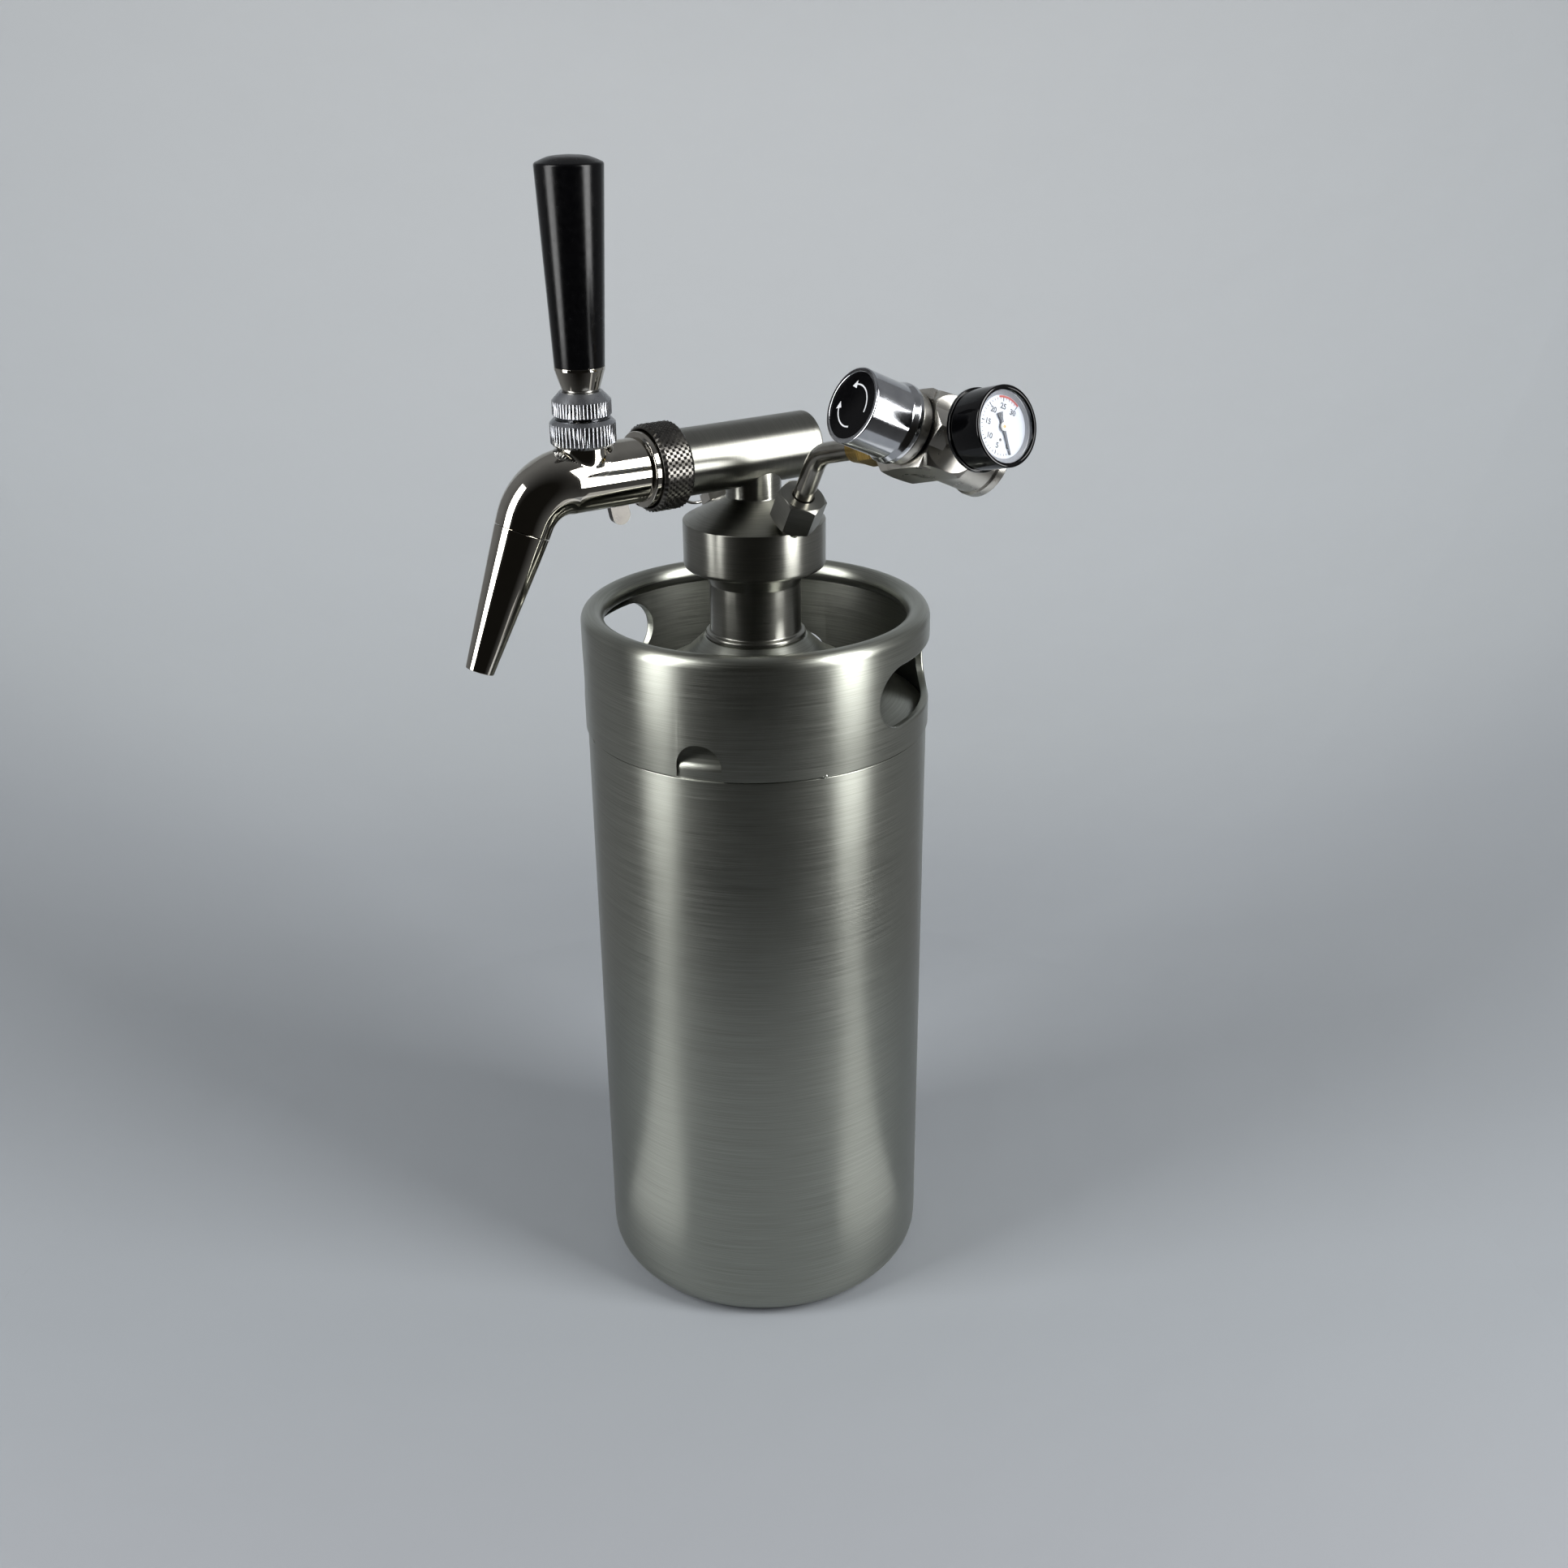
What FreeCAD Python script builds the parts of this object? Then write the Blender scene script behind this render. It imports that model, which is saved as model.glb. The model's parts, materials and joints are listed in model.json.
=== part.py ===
import FreeCAD, Part

import math
import os
import re

import Sketcher
from FreeCAD import Placement, Rotation, Vector

# Mini keg beer dispenser: a 4 litre steel keg with a screwed-on tap head, a flow-control tap,
# a relief valve and a gas regulator with its gauge. Millimetres, +Z up, origin at the centre
# of the base. The tap points along -Y, the gas line leaves along +X.

X_AXIS = Vector(1, 0, 0)
Y_AXIS = Vector(0, 1, 0)
Z_AXIS = Vector(0, 0, 1)

SIZES = {
    # Keg shell
    "keg_radius": 70.0,
    "keg_wall": 1.0,
    "dish_rise": 5.0,
    "dish_radius": 39.0,
    "foot_inner_radius": 44.0,
    "base_corner": 13.0,
    "shoulder_height": 262.0,
    "shoulder_corner": 7.0,
    "knee_radius": 30.5,
    "knee_rise": 22.0,
    "knee_height": "shoulder_height + knee_rise",
    "neck_foot_radius": 21.0,
    "neck_foot_rise": 9.0,
    "neck_foot_height": "knee_height + neck_foot_rise",
    # Keg neck
    "neck_radius": 18.5,
    "neck_wall": 2.0,
    "neck_tail": 5.0,
    "weld_radius": 20.4,
    "weld_rise": 2.0,
    "neck_run": 22.5,
    "flare_height": "neck_foot_height + neck_run",
    "flare_rise": 5.5,
    "thread_radius": 21.0,
    "neck_thread_rise": 19.0,
    "neck_top": "flare_height + neck_thread_rise",
    # Top collar
    "collar_radius": "keg_radius + collar_wall",
    "collar_wall": 0.73,
    "collar_lap": 5.0,
    "collar_bottom": "shoulder_height - collar_lap",
    "curl_radius": 4.68,
    "curl_rise": 39.5,
    "curl_height": "shoulder_height + curl_rise",
    "curl_turn": 300.0,
    "handhole_azimuth": 38.0,
    "handhole_half_angle": 28.5,
    "handhole_rise": 6.0,
    "handhole_bottom": "shoulder_height + handhole_rise",
    "handhole_height": 25.0,
    "handhole_corner": 12.4,
    "handhole_lip": 3.0,
    "notch_azimuth": 128.0,
    "notch_width": 18.2,
    "notch_height": 14.0,
    "notch_corner": 9.0,
    # Cap
    "head_clearance": 0.3,
    "fit_clearance": 0.05,
    "cap_radius": 28.5,
    "cap_skirt": 12.5,
    "cap_bottom": "neck_top - cap_skirt",
    "cap_edge": 2.0,
    "cap_shoulder_rise": 6.5,
    "cap_shoulder": "neck_top + cap_shoulder_rise",
    "cap_seal_room": 1.5,
    "cap_ceiling": "neck_top + cap_seal_room",
    "cone_rise": 9.5,
    "cone_top": "cap_shoulder + cone_rise",
    "boss_radius": 11.0,
    "seal_width": 3.5,
    "dip_radius": 3.2,
    "dip_wall": 0.8,
    "dip_bottom": 10.0,
    "dip_rise": 3.5,
    "dip_top": "cone_top + dip_rise",
    "oring_wire": 0.95,
    # Ports on the cone, one each side
    "port_radius": 25.5,
    "port_tilt": 30.0,
    "port_rise": 1.0,
    "port_height": "cap_shoulder + port_rise",
    "stub_radius": 4.0,
    "stub_depth": 3.0,
    "gallery_radius": 1.5,
    "gallery_reach": 14.0,
    "gallery_drop": 2.0,
    # Shank
    "tap_rise": 17.25,
    "tap_height": "cone_top + tap_rise",
    "shank_radius": 12.9,
    "shank_bore": 5.0,
    "shank_back": 25.0,
    "shank_front": 44.3,
    "shank_flange_radius": 13.9,
    "shank_flange": 5.0,
    "shank_flange_start": "shank_front - shank_flange",
    "plug_head": 3.0,
    "plug_stem": 10.0,
    # Coupling nut
    "nut_radius": 16.7,
    "nut_lap": 8.0,
    "nut_back": "shank_front - nut_lap",
    "nut_reach": 5.0,
    "nut_front": "shank_front + nut_reach",
    "nut_chamfer": 1.2,
    "faucet_thread_radius": 14.3,
    "gasket_thickness": 1.2,
    # Faucet body
    "faucet_thread_rise": 2.5,
    "faucet_thread_front": "nut_front + faucet_thread_rise",
    "barrel_radius": 12.25,
    "barrel_bore": 6.5,
    "bend_run": 20.5,
    "bend_corner": "handle_reach + bend_run",
    "bend_angle": 67.0,
    "bend_radius": 19.0,
    "bend_lead": 2.0,
    "joint_run": 16.9,
    "joint_radius": 10.4,
    "bend_bore": 5.0,
    "seat_run": 12.2,
    "seat_reach": "handle_reach + seat_run",
    "guide_run": 10.7,
    "handle_reach": "shuttle_back + guide_run",
    "lever_neck_radius": 10.1,
    "lever_neck_top": 18.25,
    # Spout
    "spout_length": 54.2,
    "spout_tip_radius": 5.4,
    "spout_tip_wall": 1.0,
    "spigot_radius": 7.6,
    "spigot_length": 3.6,
    "spout_seal_thickness": 0.8,
    "spout_bore": 5.0,
    "outlet_length": 12.0,
    # Handle
    "pivot_height": 9.0,
    "ball_radius": 6.0,
    "seat_radius": 7.95,
    "seat_floor": 7.25,
    "seat_height": 5.75,
    "washer_bottom": 13.3,
    "washer_height": 2.0,
    "washer_bore": 6.5,
    "bonnet_bottom": 12.55,
    "bonnet_top": 22.45,
    "bonnet_radius": 12.1,
    "bonnet_chamfer": 1.5,
    "throat_bottom": 7.7,
    "throat_top": 9.2,
    "arm_radius": 2.0,
    "arm_tip": 2.2,
    "lever_radius": 3.5,
    "lever_top": 40.0,
    "jam_bottom": 23.45,
    "jam_radius": 10.85,
    "jam_shoulder": 29.55,
    "jam_top": 32.25,
    "jam_top_radius": 7.8,
    "jam_skirt": 0.95,
    "jam_hollow": 2.8,
    "ferrule_bottom_radius": 6.8,
    "ferrule_top_radius": 9.25,
    "ferrule_top": 41.1,
    "grip_bottom_radius": 9.15,
    "grip_top_radius": 12.25,
    "grip_edge": 110.3,
    "grip_dome": 2.75,
    "insert_radius": 5.0,
    "insert_length": 16.0,
    # Shuttle
    "valve_clearance": 0.3,
    "shuttle_run": 7.5,
    "shuttle_back": "flow_place + shuttle_run",
    "guide_length": 4.5,
    "shuttle_rod": 2.6,
    "eye_half_height": 2.4,
    "eye_half_length": 6.0,
    "eye_slot": 3.3,
    "head_run": 9.0,
    "shuttle_head": "handle_reach + head_run",
    "shuttle_head_length": 1.6,
    "shuttle_seal_length": 1.3,
    "flow_hole": 1.3,
    "flow_hole_place": 4.3,
    # Flow control
    "flow_run": 6.7,
    "flow_place": "nut_front + flow_run",
    "flow_shaft_radius": 2.7,
    "flow_shaft_inner": 6.8,
    "flow_lever_inner": 14.6,
    "flow_lever_thickness": 3.0,
    "flow_lever_width": 7.8,
    "flow_lever_length": 21.0,
    "flow_lever_slant": 12.0,
    "flow_hub_radius": 5.0,
    "eccentric": 1.3,
    "eccentric_radius": 1.2,
    "eccentric_end": 4.9,
    "plug_lead": 10.0,
    "plug_back": "flow_place - plug_lead",
    "plug_tail_radius": 3.0,
    "plug_land": 4.6,
    "plug_length": 11.4,
    # Relief valve, heights along its own axis
    "prv_hex": 12.0,
    "prv_hex_height": 4.0,
    "prv_shoulder": 1.0,
    "prv_barrel": 4.9,
    "prv_top": 12.0,
    "prv_wall": 1.7,
    "prv_pin_radius": 1.2,
    "prv_pin_top": 18.5,
    "prv_disc_radius": 2.8,
    "prv_disc_height": 1.0,
    "prv_gap": 0.15,
    "prv_eye_radius": 2.3,
    "prv_eye_play": 0.8,
    "prv_ring_radius": 10.5,
    "prv_ring_wire": 0.65,
    "prv_ring_tilt": 21.5,
    # Gas line, heights along the inlet axis
    "inlet_radius": 6.4,
    "inlet_bore": 2.5,
    "inlet_shoulder": 2.0,
    "inlet_top": 10.5,
    "gas_nut_flats": 17.0,
    "gas_nut_bottom": 4.3,
    "gas_nut_top": 17.4,
    "gas_nut_lip": 2.0,
    "hex_chamfer": 1.0,
    "tube_radius": 4.0,
    "tube_wall": 1.0,
    "tube_twist": 6.0,
    "tube_bend": 45.0,
    "tube_bend_radius": 14.0,
    "tube_corner": 37.9,
    "tube_run": 61.1,
    "tube_entry": 30.0,
    "tube_hole_clearance": 0.5,
    # Outlet fittings, distances from the regulator's centre
    "outlet_nut_front": 40.0,
    "outlet_nut_hex_front": 33.0,
    "outlet_nut_back": 24.0,
    "outlet_nut_flats": 12.7,
    "outlet_stub_radius": 5.6,
    "outlet_stub_depth": 6.0,
    # Regulator body
    "regulator_roll_angle": 61.2,
    "bar_flats": 26.0,
    "bar_back": 15.0,
    "bar_front": 12.0,
    "bar_chamfer": 1.6,
    "flange_flats": 27.5,
    "flange_bottom": 3.0,
    "flange_top": 9.6,
    "flange_chamfer": 0.8,
    "socket_radius": 12.5,
    "socket_rim_radius": 13.25,
    "socket_rim": 4.0,
    "socket_depth": 27.2,
    "socket_floor": 12.0,
    "socket_bore": 7.94,
    "socket_thread_end": 18.5,
    "socket_seat": 7.4,
    "socket_chamfer": 1.0,
    "passage_radius": 1.4,
    "passage_place": 6.0,
    "chamber_radius": 8.5,
    "chamber_depth": 1.6,
    "valve_bore": 2.2,
    "valve_chamber": 4.5,
    "valve_seat": 4.0,
    # Regulator inner pieces
    "diaphragm_radius": 12.2,
    "diaphragm_thickness": 0.8,
    "bonnet_flange_radius": 12.7,
    "bonnet_flange": 3.8,
    "bonnet_tube_radius": 10.6,
    "bonnet_tube_wall": 2.1,
    "bonnet_tube_top": 29.0,
    "bonnet_lid": 3.0,
    "screw_radius": 3.0,
    "screw_bottom": 13.0,
    "screw_collar_radius": 4.5,
    "screw_collar": 1.1,
    "button_radius": 8.0,
    "button_thickness": 3.0,
    "button_top": 24.0,
    "spring_radius": 6.5,
    "spring_wire": 0.8,
    "spring_pitch": 2.6,
    "spring_turns": 2.0,
    "poppet_stem": 1.0,
    "poppet_radius": 3.5,
    "poppet_height": 2.0,
    "pin_base": 2.0,
    "pin_radius": 1.2,
    "pin_length": 4.3,
    "socket_seal_bore": 4.5,
    "socket_seal_height": 1.5,
    # Knob
    "knob_radius": 13.0,
    "knob_skirt_radius": 14.0,
    "knob_skirt": 1.8,
    "knob_flare": 4.0,
    "knob_bottom": 15.2,
    "knob_top": 35.3,
    "knob_edge": 0.8,
    "knob_bore": 11.0,
    "knob_web": 3.8,
    "knob_face_radius": 11.4,
    "knob_recess": 1.0,
    "knob_face_thickness": 0.6,
    # Gauge, distances from the regulator's centre
    "gauge_port_depth": 4.0,
    "gauge_port_radius": 4.5,
    "stem_radius": 5.5,
    "stem_bore": 1.0,
    "gauge_back_start": 23.5,
    "gauge_back_radius": 14.0,
    "gauge_back_thickness": 2.0,
    "gauge_radius": 13.45,
    "gauge_wall": 1.15,
    "gauge_front": 38.3,
    "gauge_lip": 0.8,
    "gauge_window": 10.9,
    "lens_thickness": 0.5,
    "dial_height": 35.5,
    "dial_thickness": 0.3,
    "dial_hole": 1.2,
    "needle_gap": 0.4,
    "needle_thickness": 0.25,
    "needle_length": 9.5,
    "needle_tail": 4.8,
    "needle_width": 1.2,
    "needle_zero": 147.0,
    "needle_hub": 1.4,
    "arbor_radius": 0.6,
    "dial_screw_radius": 0.5,
    "dial_screw_place": 4.4,
    "bourdon_radius": 8.2,
    "bourdon_tube_radius": 1.0,
    "bourdon_height": 30.5,
    "movement_half_width": 4.5,
    "movement_top": 33.4,
    "movement_plate": 0.9,
}

doc = FreeCAD.newDocument("mini_keg_dispenser")
sizes = doc.addObject("Spreadsheet::Sheet", "sizes")
for row, name in enumerate(SIZES, start=1):
    sizes.set(f"A{row}", name)
    sizes.setAlias(f"B{row}", name)
for row, value in enumerate(SIZES.values(), start=1):
    sizes.set(f"B{row}", f"={value}")
doc.recompute()

finished = {}


def bound(formula):
    """The formula with each size's name turned into a reference to its cell."""
    return re.sub(
        "[a-z_]+",
        lambda word: "sizes." + word.group(0) if word.group(0) in SIZES else word.group(0),
        formula,
    )


def size(formula):
    """The value of a formula in the sheet's sizes."""
    return float(sizes.evalExpression(bound(formula)))


def part(piece, label):
    """Names a finished piece and keeps it for the hand-over."""
    piece.Label = label
    finished[label] = piece
    return piece


def origin_plane(body, role):
    """One of a body's own origin planes."""
    return next(plane for plane in body.Origin.OriginFeatures if plane.Role == role)


def draw(sketch, points, closed=True):
    """Draws straight runs through points given as formulas; a third formula rounds that corner."""
    spots = [Vector(size(point[0]), size(point[1]), 0) for point in points]
    count = len(spots)
    runs = count if closed else count - 1
    for run in range(runs):
        sketch.addGeometry(Part.LineSegment(spots[run], spots[(run + 1) % count]))
    for run in range(runs if closed else runs - 1):
        sketch.addConstraint(Sketcher.Constraint("Coincident", run, 2, (run + 1) % runs, 1))
    for index, point in enumerate(points):
        run, end = (index, 1) if index < runs else (index - 1, 2)
        for kind, formula, value in (
            ("DistanceX", point[0], spots[index].x),
            ("DistanceY", point[1], spots[index].y),
        ):
            tie = sketch.addConstraint(Sketcher.Constraint(kind, -1, 1, run, end, value))
            sketch.setExpression(f"Constraints[{tie}]", bound(formula))
    for index, point in enumerate(points):
        if len(point) > 2:
            round_corner(sketch, spots, index, point[2])


def round_corner(sketch, spots, index, formula):
    """Rounds one drawn corner to a radius given as a formula."""
    corner = spots[index]
    before = corner + (spots[index - 1] - corner) * 0.01
    after = corner + (spots[(index + 1) % len(spots)] - corner) * 0.01
    last = (index - 1) % len(spots)
    first_new = sketch.GeometryCount
    sketch.fillet(last, index, before, after, size(formula), True, True)
    arc = next(
        number
        for number in range(first_new, sketch.GeometryCount)
        if isinstance(sketch.Geometry[number], Part.ArcOfCircle)
    )
    tie = sketch.addConstraint(Sketcher.Constraint("Radius", arc, size(formula)))
    sketch.setExpression(f"Constraints[{tie}]", bound(formula))


def body_sketch(body, role, label, points, closed=True):
    """A sketch on one of the body's origin planes."""
    sketch = body.newObject("Sketcher::SketchObject", label)
    sketch.AttachmentSupport = [(origin_plane(body, role), "")]
    sketch.MapMode = "FlatFace"
    draw(sketch, points, closed)
    return sketch


def turned(label, points, place=None):
    """A piece turned about its own Z axis from an outline of radius and height."""
    body = doc.addObject("PartDesign::Body", label)
    sketch = body_sketch(body, "XZ_Plane", label + "_outline", points)
    turn = body.newObject("PartDesign::Revolution", label + "_turned")
    turn.Profile = sketch
    turn.ReferenceAxis = (sketch, ["V_Axis"])
    turn.Angle = 360
    if place:
        body.Placement = place
    return body


def rod(label, radius, start, end, place=None):
    """A plain cylinder along the Z axis of its place, from start to end."""
    bar = doc.addObject("Part::Cylinder", label)
    bar.setExpression("Radius", bound(radius))
    bar.setExpression("Height", bound(f"({end}) - ({start})"))
    bar.Placement = (place or Placement()) * Placement(Vector(0, 0, size(start)), Rotation())
    return bar


def crossing(place, direction, offset):
    """A place whose Z axis points along a direction of another place, from an offset in it."""
    return place * Placement(offset, Rotation(Z_AXIS, direction))


def cuboid(label, corner, lengths, place=None):
    """A box from a low corner, each given as formulas."""
    block = doc.addObject("Part::Box", label)
    for side, formula in zip(("Length", "Width", "Height"), lengths):
        block.setExpression(side, bound(formula))
    start = Vector(*(size(formula) for formula in corner))
    block.Placement = (place or Placement()) * Placement(start, Rotation())
    return block


def hexagon(label, flats, start, end, place):
    """A hexagonal bar along the Z axis, with two flats facing its Y axis."""
    bar = doc.addObject("Part::Prism", label)
    bar.Polygon = 6
    bar.setExpression("Circumradius", bound(f"{flats} / 2 / cos(30)"))
    bar.setExpression("Height", bound(f"({end}) - ({start})"))
    bar.Placement = place * Placement(Vector(0, 0, size(start)), Rotation())
    return bar


def join(label, pieces):
    whole = doc.addObject("Part::MultiFuse", label)
    whole.Shapes = pieces
    return whole


def overlap(label, pieces):
    shared = doc.addObject("Part::MultiCommon", label)
    shared.Shapes = pieces
    return shared


def cut(label, piece, tools):
    """The piece less one or more tools."""
    rest = doc.addObject("Part::Cut", label)
    rest.Base = piece
    rest.Tool = tools[0] if len(tools) == 1 else join(label + "_tools", tools)
    return rest


def pressed(label, sketch, wall):
    """Sheet metal turned about the Z axis: the drawn line is its outer face."""
    section = doc.addObject("Part::Offset2D", label + "_section")
    section.Source = sketch
    section.setExpression("Value", bound(wall))
    section.Mode = "Skin"
    section.Join = "Intersection"
    section.Fill = True
    shell = doc.addObject("Part::Revolution", label)
    shell.Source = section
    shell.Axis = Z_AXIS
    shell.Base = Vector()
    shell.Angle = 360
    shell.Solid = True
    return shell


def upright_sketch(label):
    """A free sketch in the XZ plane."""
    sketch = doc.addObject("Sketcher::SketchObject", label)
    sketch.Placement = Placement(Vector(), Rotation(X_AXIS, 90))
    return sketch


def coil(label, radius, wire, pitch, turns, start, place):
    """A round-wire spring standing on start."""
    path = doc.addObject("Part::Helix", label + "_path")
    path.setExpression("Radius", bound(radius))
    path.setExpression("Pitch", bound(pitch))
    path.setExpression("Height", bound(f"({pitch}) * ({turns})"))
    ring = doc.addObject("Part::Circle", label + "_wire")
    ring.setExpression("Radius", bound(wire))
    ring.Placement = Placement(Vector(size(radius), 0, 0), Rotation(X_AXIS, 90))
    sweep = doc.addObject("Part::Sweep", label)
    sweep.Sections = [ring]
    sweep.Spine = (path, [])
    sweep.Solid = True
    sweep.Frenet = True
    sweep.Placement = place * Placement(Vector(0, 0, size(start)), Rotation())
    return sweep


# Places that the pieces are built in

TAP = Placement(Vector(0, 0, size("tap_height")), Rotation(X_AXIS, 90))
HANDLE = Placement(Vector(0, -size("handle_reach"), size("tap_height")), Rotation())
GAS = Placement(
    Vector(size("port_radius"), 0, size("port_height")),
    Rotation(Y_AXIS, size("port_tilt")),
)
RELIEF = Placement(
    Vector(-size("port_radius"), 0, size("port_height")),
    Rotation(Y_AXIS, -size("port_tilt")),
)
TUBE = Placement(
    GAS.Base,
    Rotation(Y_AXIS, size("port_tilt") - 90) * Rotation(X_AXIS, size("tube_twist")),
)
REGULATOR = (
    TUBE
    * Placement(Vector(size("tube_corner"), 0, 0), Rotation(Y_AXIS, size("tube_bend")))
    * Placement(Vector(size("tube_run"), 0, 0), Rotation(X_AXIS, size("regulator_roll_angle")))
)
GAUGE = REGULATOR * Placement(Vector(), Rotation(Y_AXIS, 90))
OUTLET = REGULATOR * Placement(Vector(), Rotation(Y_AXIS, -90))
SPOUT = (
    TAP
    * Placement(Vector(0, 0, size("bend_corner")), Rotation(X_AXIS, size("bend_angle")))
    * Placement(Vector(0, 0, size("joint_run")), Rotation())
)


# Keg


def keg_shell():
    line = upright_sketch("keg_shell_line")
    draw(
        line,
        [
            ("0", "dish_rise"),
            ("dish_radius", "dish_rise"),
            ("foot_inner_radius", "0"),
            ("keg_radius", "0", "base_corner"),
            ("keg_radius", "shoulder_height", "shoulder_corner"),
            ("knee_radius", "knee_height"),
            ("neck_foot_radius", "neck_foot_height"),
            ("neck_radius", "neck_foot_height"),
        ],
        closed=False,
    )
    return pressed("keg_shell", line, "keg_wall")


def keg_neck():
    return turned(
        "keg_neck",
        [
            ("neck_radius - neck_wall", "neck_foot_height - neck_tail"),
            ("neck_radius", "neck_foot_height - neck_tail"),
            ("neck_radius", "neck_foot_height"),
            ("weld_radius", "neck_foot_height"),
            ("weld_radius", "neck_foot_height + weld_rise", "weld_rise / 2"),
            ("neck_radius", "neck_foot_height + weld_rise"),
            ("neck_radius", "flare_height"),
            ("thread_radius", "flare_height + flare_rise"),
            ("thread_radius", "neck_top"),
            ("neck_radius - neck_wall", "neck_top"),
        ],
    )


def collar_line():
    """The collar's outer face: a straight wall that runs into the rolled rim."""
    sketch = upright_sketch("keg_collar_line")
    radius = size("collar_radius")
    curl = size("curl_radius")
    centre = Vector(radius - curl, size("curl_height"), 0)
    foot = Vector(radius, size("collar_bottom"), 0)
    top = Vector(radius, size("curl_height"), 0)
    sketch.addGeometry(Part.LineSegment(foot, top))
    sketch.addGeometry(
        Part.ArcOfCircle(Part.Circle(centre, Z_AXIS, curl), 0, math.radians(size("curl_turn")))
    )
    sketch.addConstraint(Sketcher.Constraint("Coincident", 0, 2, 1, 1))
    for kind, run, end, formula in (
        ("DistanceX", 0, 1, "collar_radius"),
        ("DistanceY", 0, 1, "collar_bottom"),
        ("DistanceX", 0, 2, "collar_radius"),
        ("DistanceY", 0, 2, "curl_height"),
        ("DistanceX", 1, 3, "collar_radius - curl_radius"),
        ("DistanceY", 1, 3, "curl_height"),
        ("DistanceX", 1, 2, "collar_radius - curl_radius + curl_radius * cos(curl_turn)"),
    ):
        tie = sketch.addConstraint(Sketcher.Constraint(kind, -1, 1, run, end, size(formula)))
        sketch.setExpression(f"Constraints[{tie}]", bound(formula))
    return sketch


def radial_slot(label, half_width, bottom, top, corner, azimuth):
    """A bar with rounded edges that points outward at an azimuth, through the collar's wall."""
    body = doc.addObject("PartDesign::Body", label)
    outline = body_sketch(
        body,
        "YZ_Plane",
        label + "_outline",
        [
            (f"-({half_width})", bottom, corner),
            (half_width, bottom, corner),
            (half_width, top, corner),
            (f"-({half_width})", top, corner),
        ],
    )
    bar = body.newObject("PartDesign::Pad", label + "_bar")
    bar.Profile = outline
    bar.setExpression("Length", bound("collar_radius * 1.2"))
    body.Placement = Placement(Vector(), Rotation(Z_AXIS, size(azimuth)))
    return body


def keg_collar():
    wall = pressed("collar_wall_sheet", collar_line(), "collar_wall")
    holes = []
    rims = []
    half = "collar_radius * sin(handhole_half_angle)"
    low = "handhole_bottom"
    high = "handhole_bottom + handhole_height"
    for side in (0, 180):
        azimuth = f"handhole_azimuth + {side}"
        holes.append(
            radial_slot(f"handhole_{side}", half, low, high, "handhole_corner", azimuth)
        )
        rims.append(
            radial_slot(
                f"handhole_rim_{side}",
                f"{half} + collar_wall",
                f"{low} - collar_wall",
                f"{high} + collar_wall",
                "handhole_corner + collar_wall",
                azimuth,
            )
        )
        holes.append(
            radial_slot(
                f"notch_{side}",
                "notch_width / 2",
                "collar_bottom + notch_height - notch_width",
                "collar_bottom + notch_height",
                "notch_corner",
                f"notch_azimuth + {side}",
            )
        )
    band = turned(
        "handhole_band",
        [
            ("collar_radius - handhole_lip", "collar_bottom"),
            ("collar_radius - collar_wall / 2", "collar_bottom"),
            ("collar_radius - collar_wall / 2", "curl_height"),
            ("collar_radius - handhole_lip", "curl_height"),
        ],
    )
    lips = overlap("handhole_lips", [band, join("handhole_rims", rims)])
    return cut("keg_collar", join("collar_blank", [wall, lips]), holes)


# Tap head: cap, dip tube and shank


def cap_body():
    blank = turned(
        "cap_blank",
        [
            ("dip_radius + fit_clearance", "cap_ceiling + oring_wire * 2"),
            ("dip_radius + fit_clearance + oring_wire * 2", "cap_ceiling + oring_wire * 2"),
            ("dip_radius + fit_clearance + oring_wire * 2", "cap_ceiling"),
            ("thread_radius + head_clearance", "cap_ceiling"),
            ("thread_radius + head_clearance", "cap_bottom"),
            ("cap_radius", "cap_bottom", "cap_edge"),
            ("cap_radius", "cap_shoulder"),
            ("boss_radius", "cone_top"),
            ("boss_radius", "tap_height"),
            ("dip_radius + fit_clearance", "tap_height"),
        ],
    )
    tools = [rod("shank_saddle", "shank_radius", "-shank_back", "shank_front", TAP)]
    for name, place, side in (("gas", GAS, 1), ("relief", RELIEF, -1)):
        tools.append(rod(f"{name}_socket", "stub_radius", "-stub_depth", "inlet_top", place))
        seat = place.multVec(Vector(0, 0, -size("stub_depth")))
        port = Vector(
            side * size("gallery_reach"), 0, size("cap_ceiling + gallery_drop")
        )
        run = port - seat
        gallery = doc.addObject("Part::Cylinder", f"{name}_gallery")
        gallery.setExpression("Radius", bound("gallery_radius"))
        gallery.Height = run.Length
        gallery.Placement = Placement(seat, Rotation(Z_AXIS, run))
        tools.append(gallery)
        tools.append(
            rod(
                f"{name}_port",
                "gallery_radius",
                "-gallery_drop",
                "gallery_drop + gallery_radius / 2",
                Placement(Vector(port.x, 0, size("cap_ceiling")), Rotation()),
            )
        )
    return cut("cap_body", blank, tools)


def cap_seal():
    return turned(
        "cap_seal",
        [
            ("thread_radius - seal_width", "neck_top + head_clearance / 2"),
            ("thread_radius", "neck_top + head_clearance / 2"),
            ("thread_radius", "cap_ceiling"),
            ("thread_radius - seal_width", "cap_ceiling"),
        ],
    )


def dip_tube():
    return turned(
        "dip_tube",
        [
            ("dip_radius - dip_wall", "dip_bottom"),
            ("dip_radius", "dip_bottom"),
            ("dip_radius", "dip_top"),
            ("dip_radius - dip_wall", "dip_top"),
        ],
    )


def dip_tube_seal():
    ring = doc.addObject("Part::Torus", "dip_tube_seal")
    ring.setExpression("Radius1", bound("dip_radius + fit_clearance + oring_wire"))
    ring.setExpression("Radius2", bound("oring_wire"))
    ring.Placement = Placement(Vector(0, 0, size("cap_ceiling + oring_wire")), Rotation())
    return ring


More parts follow.
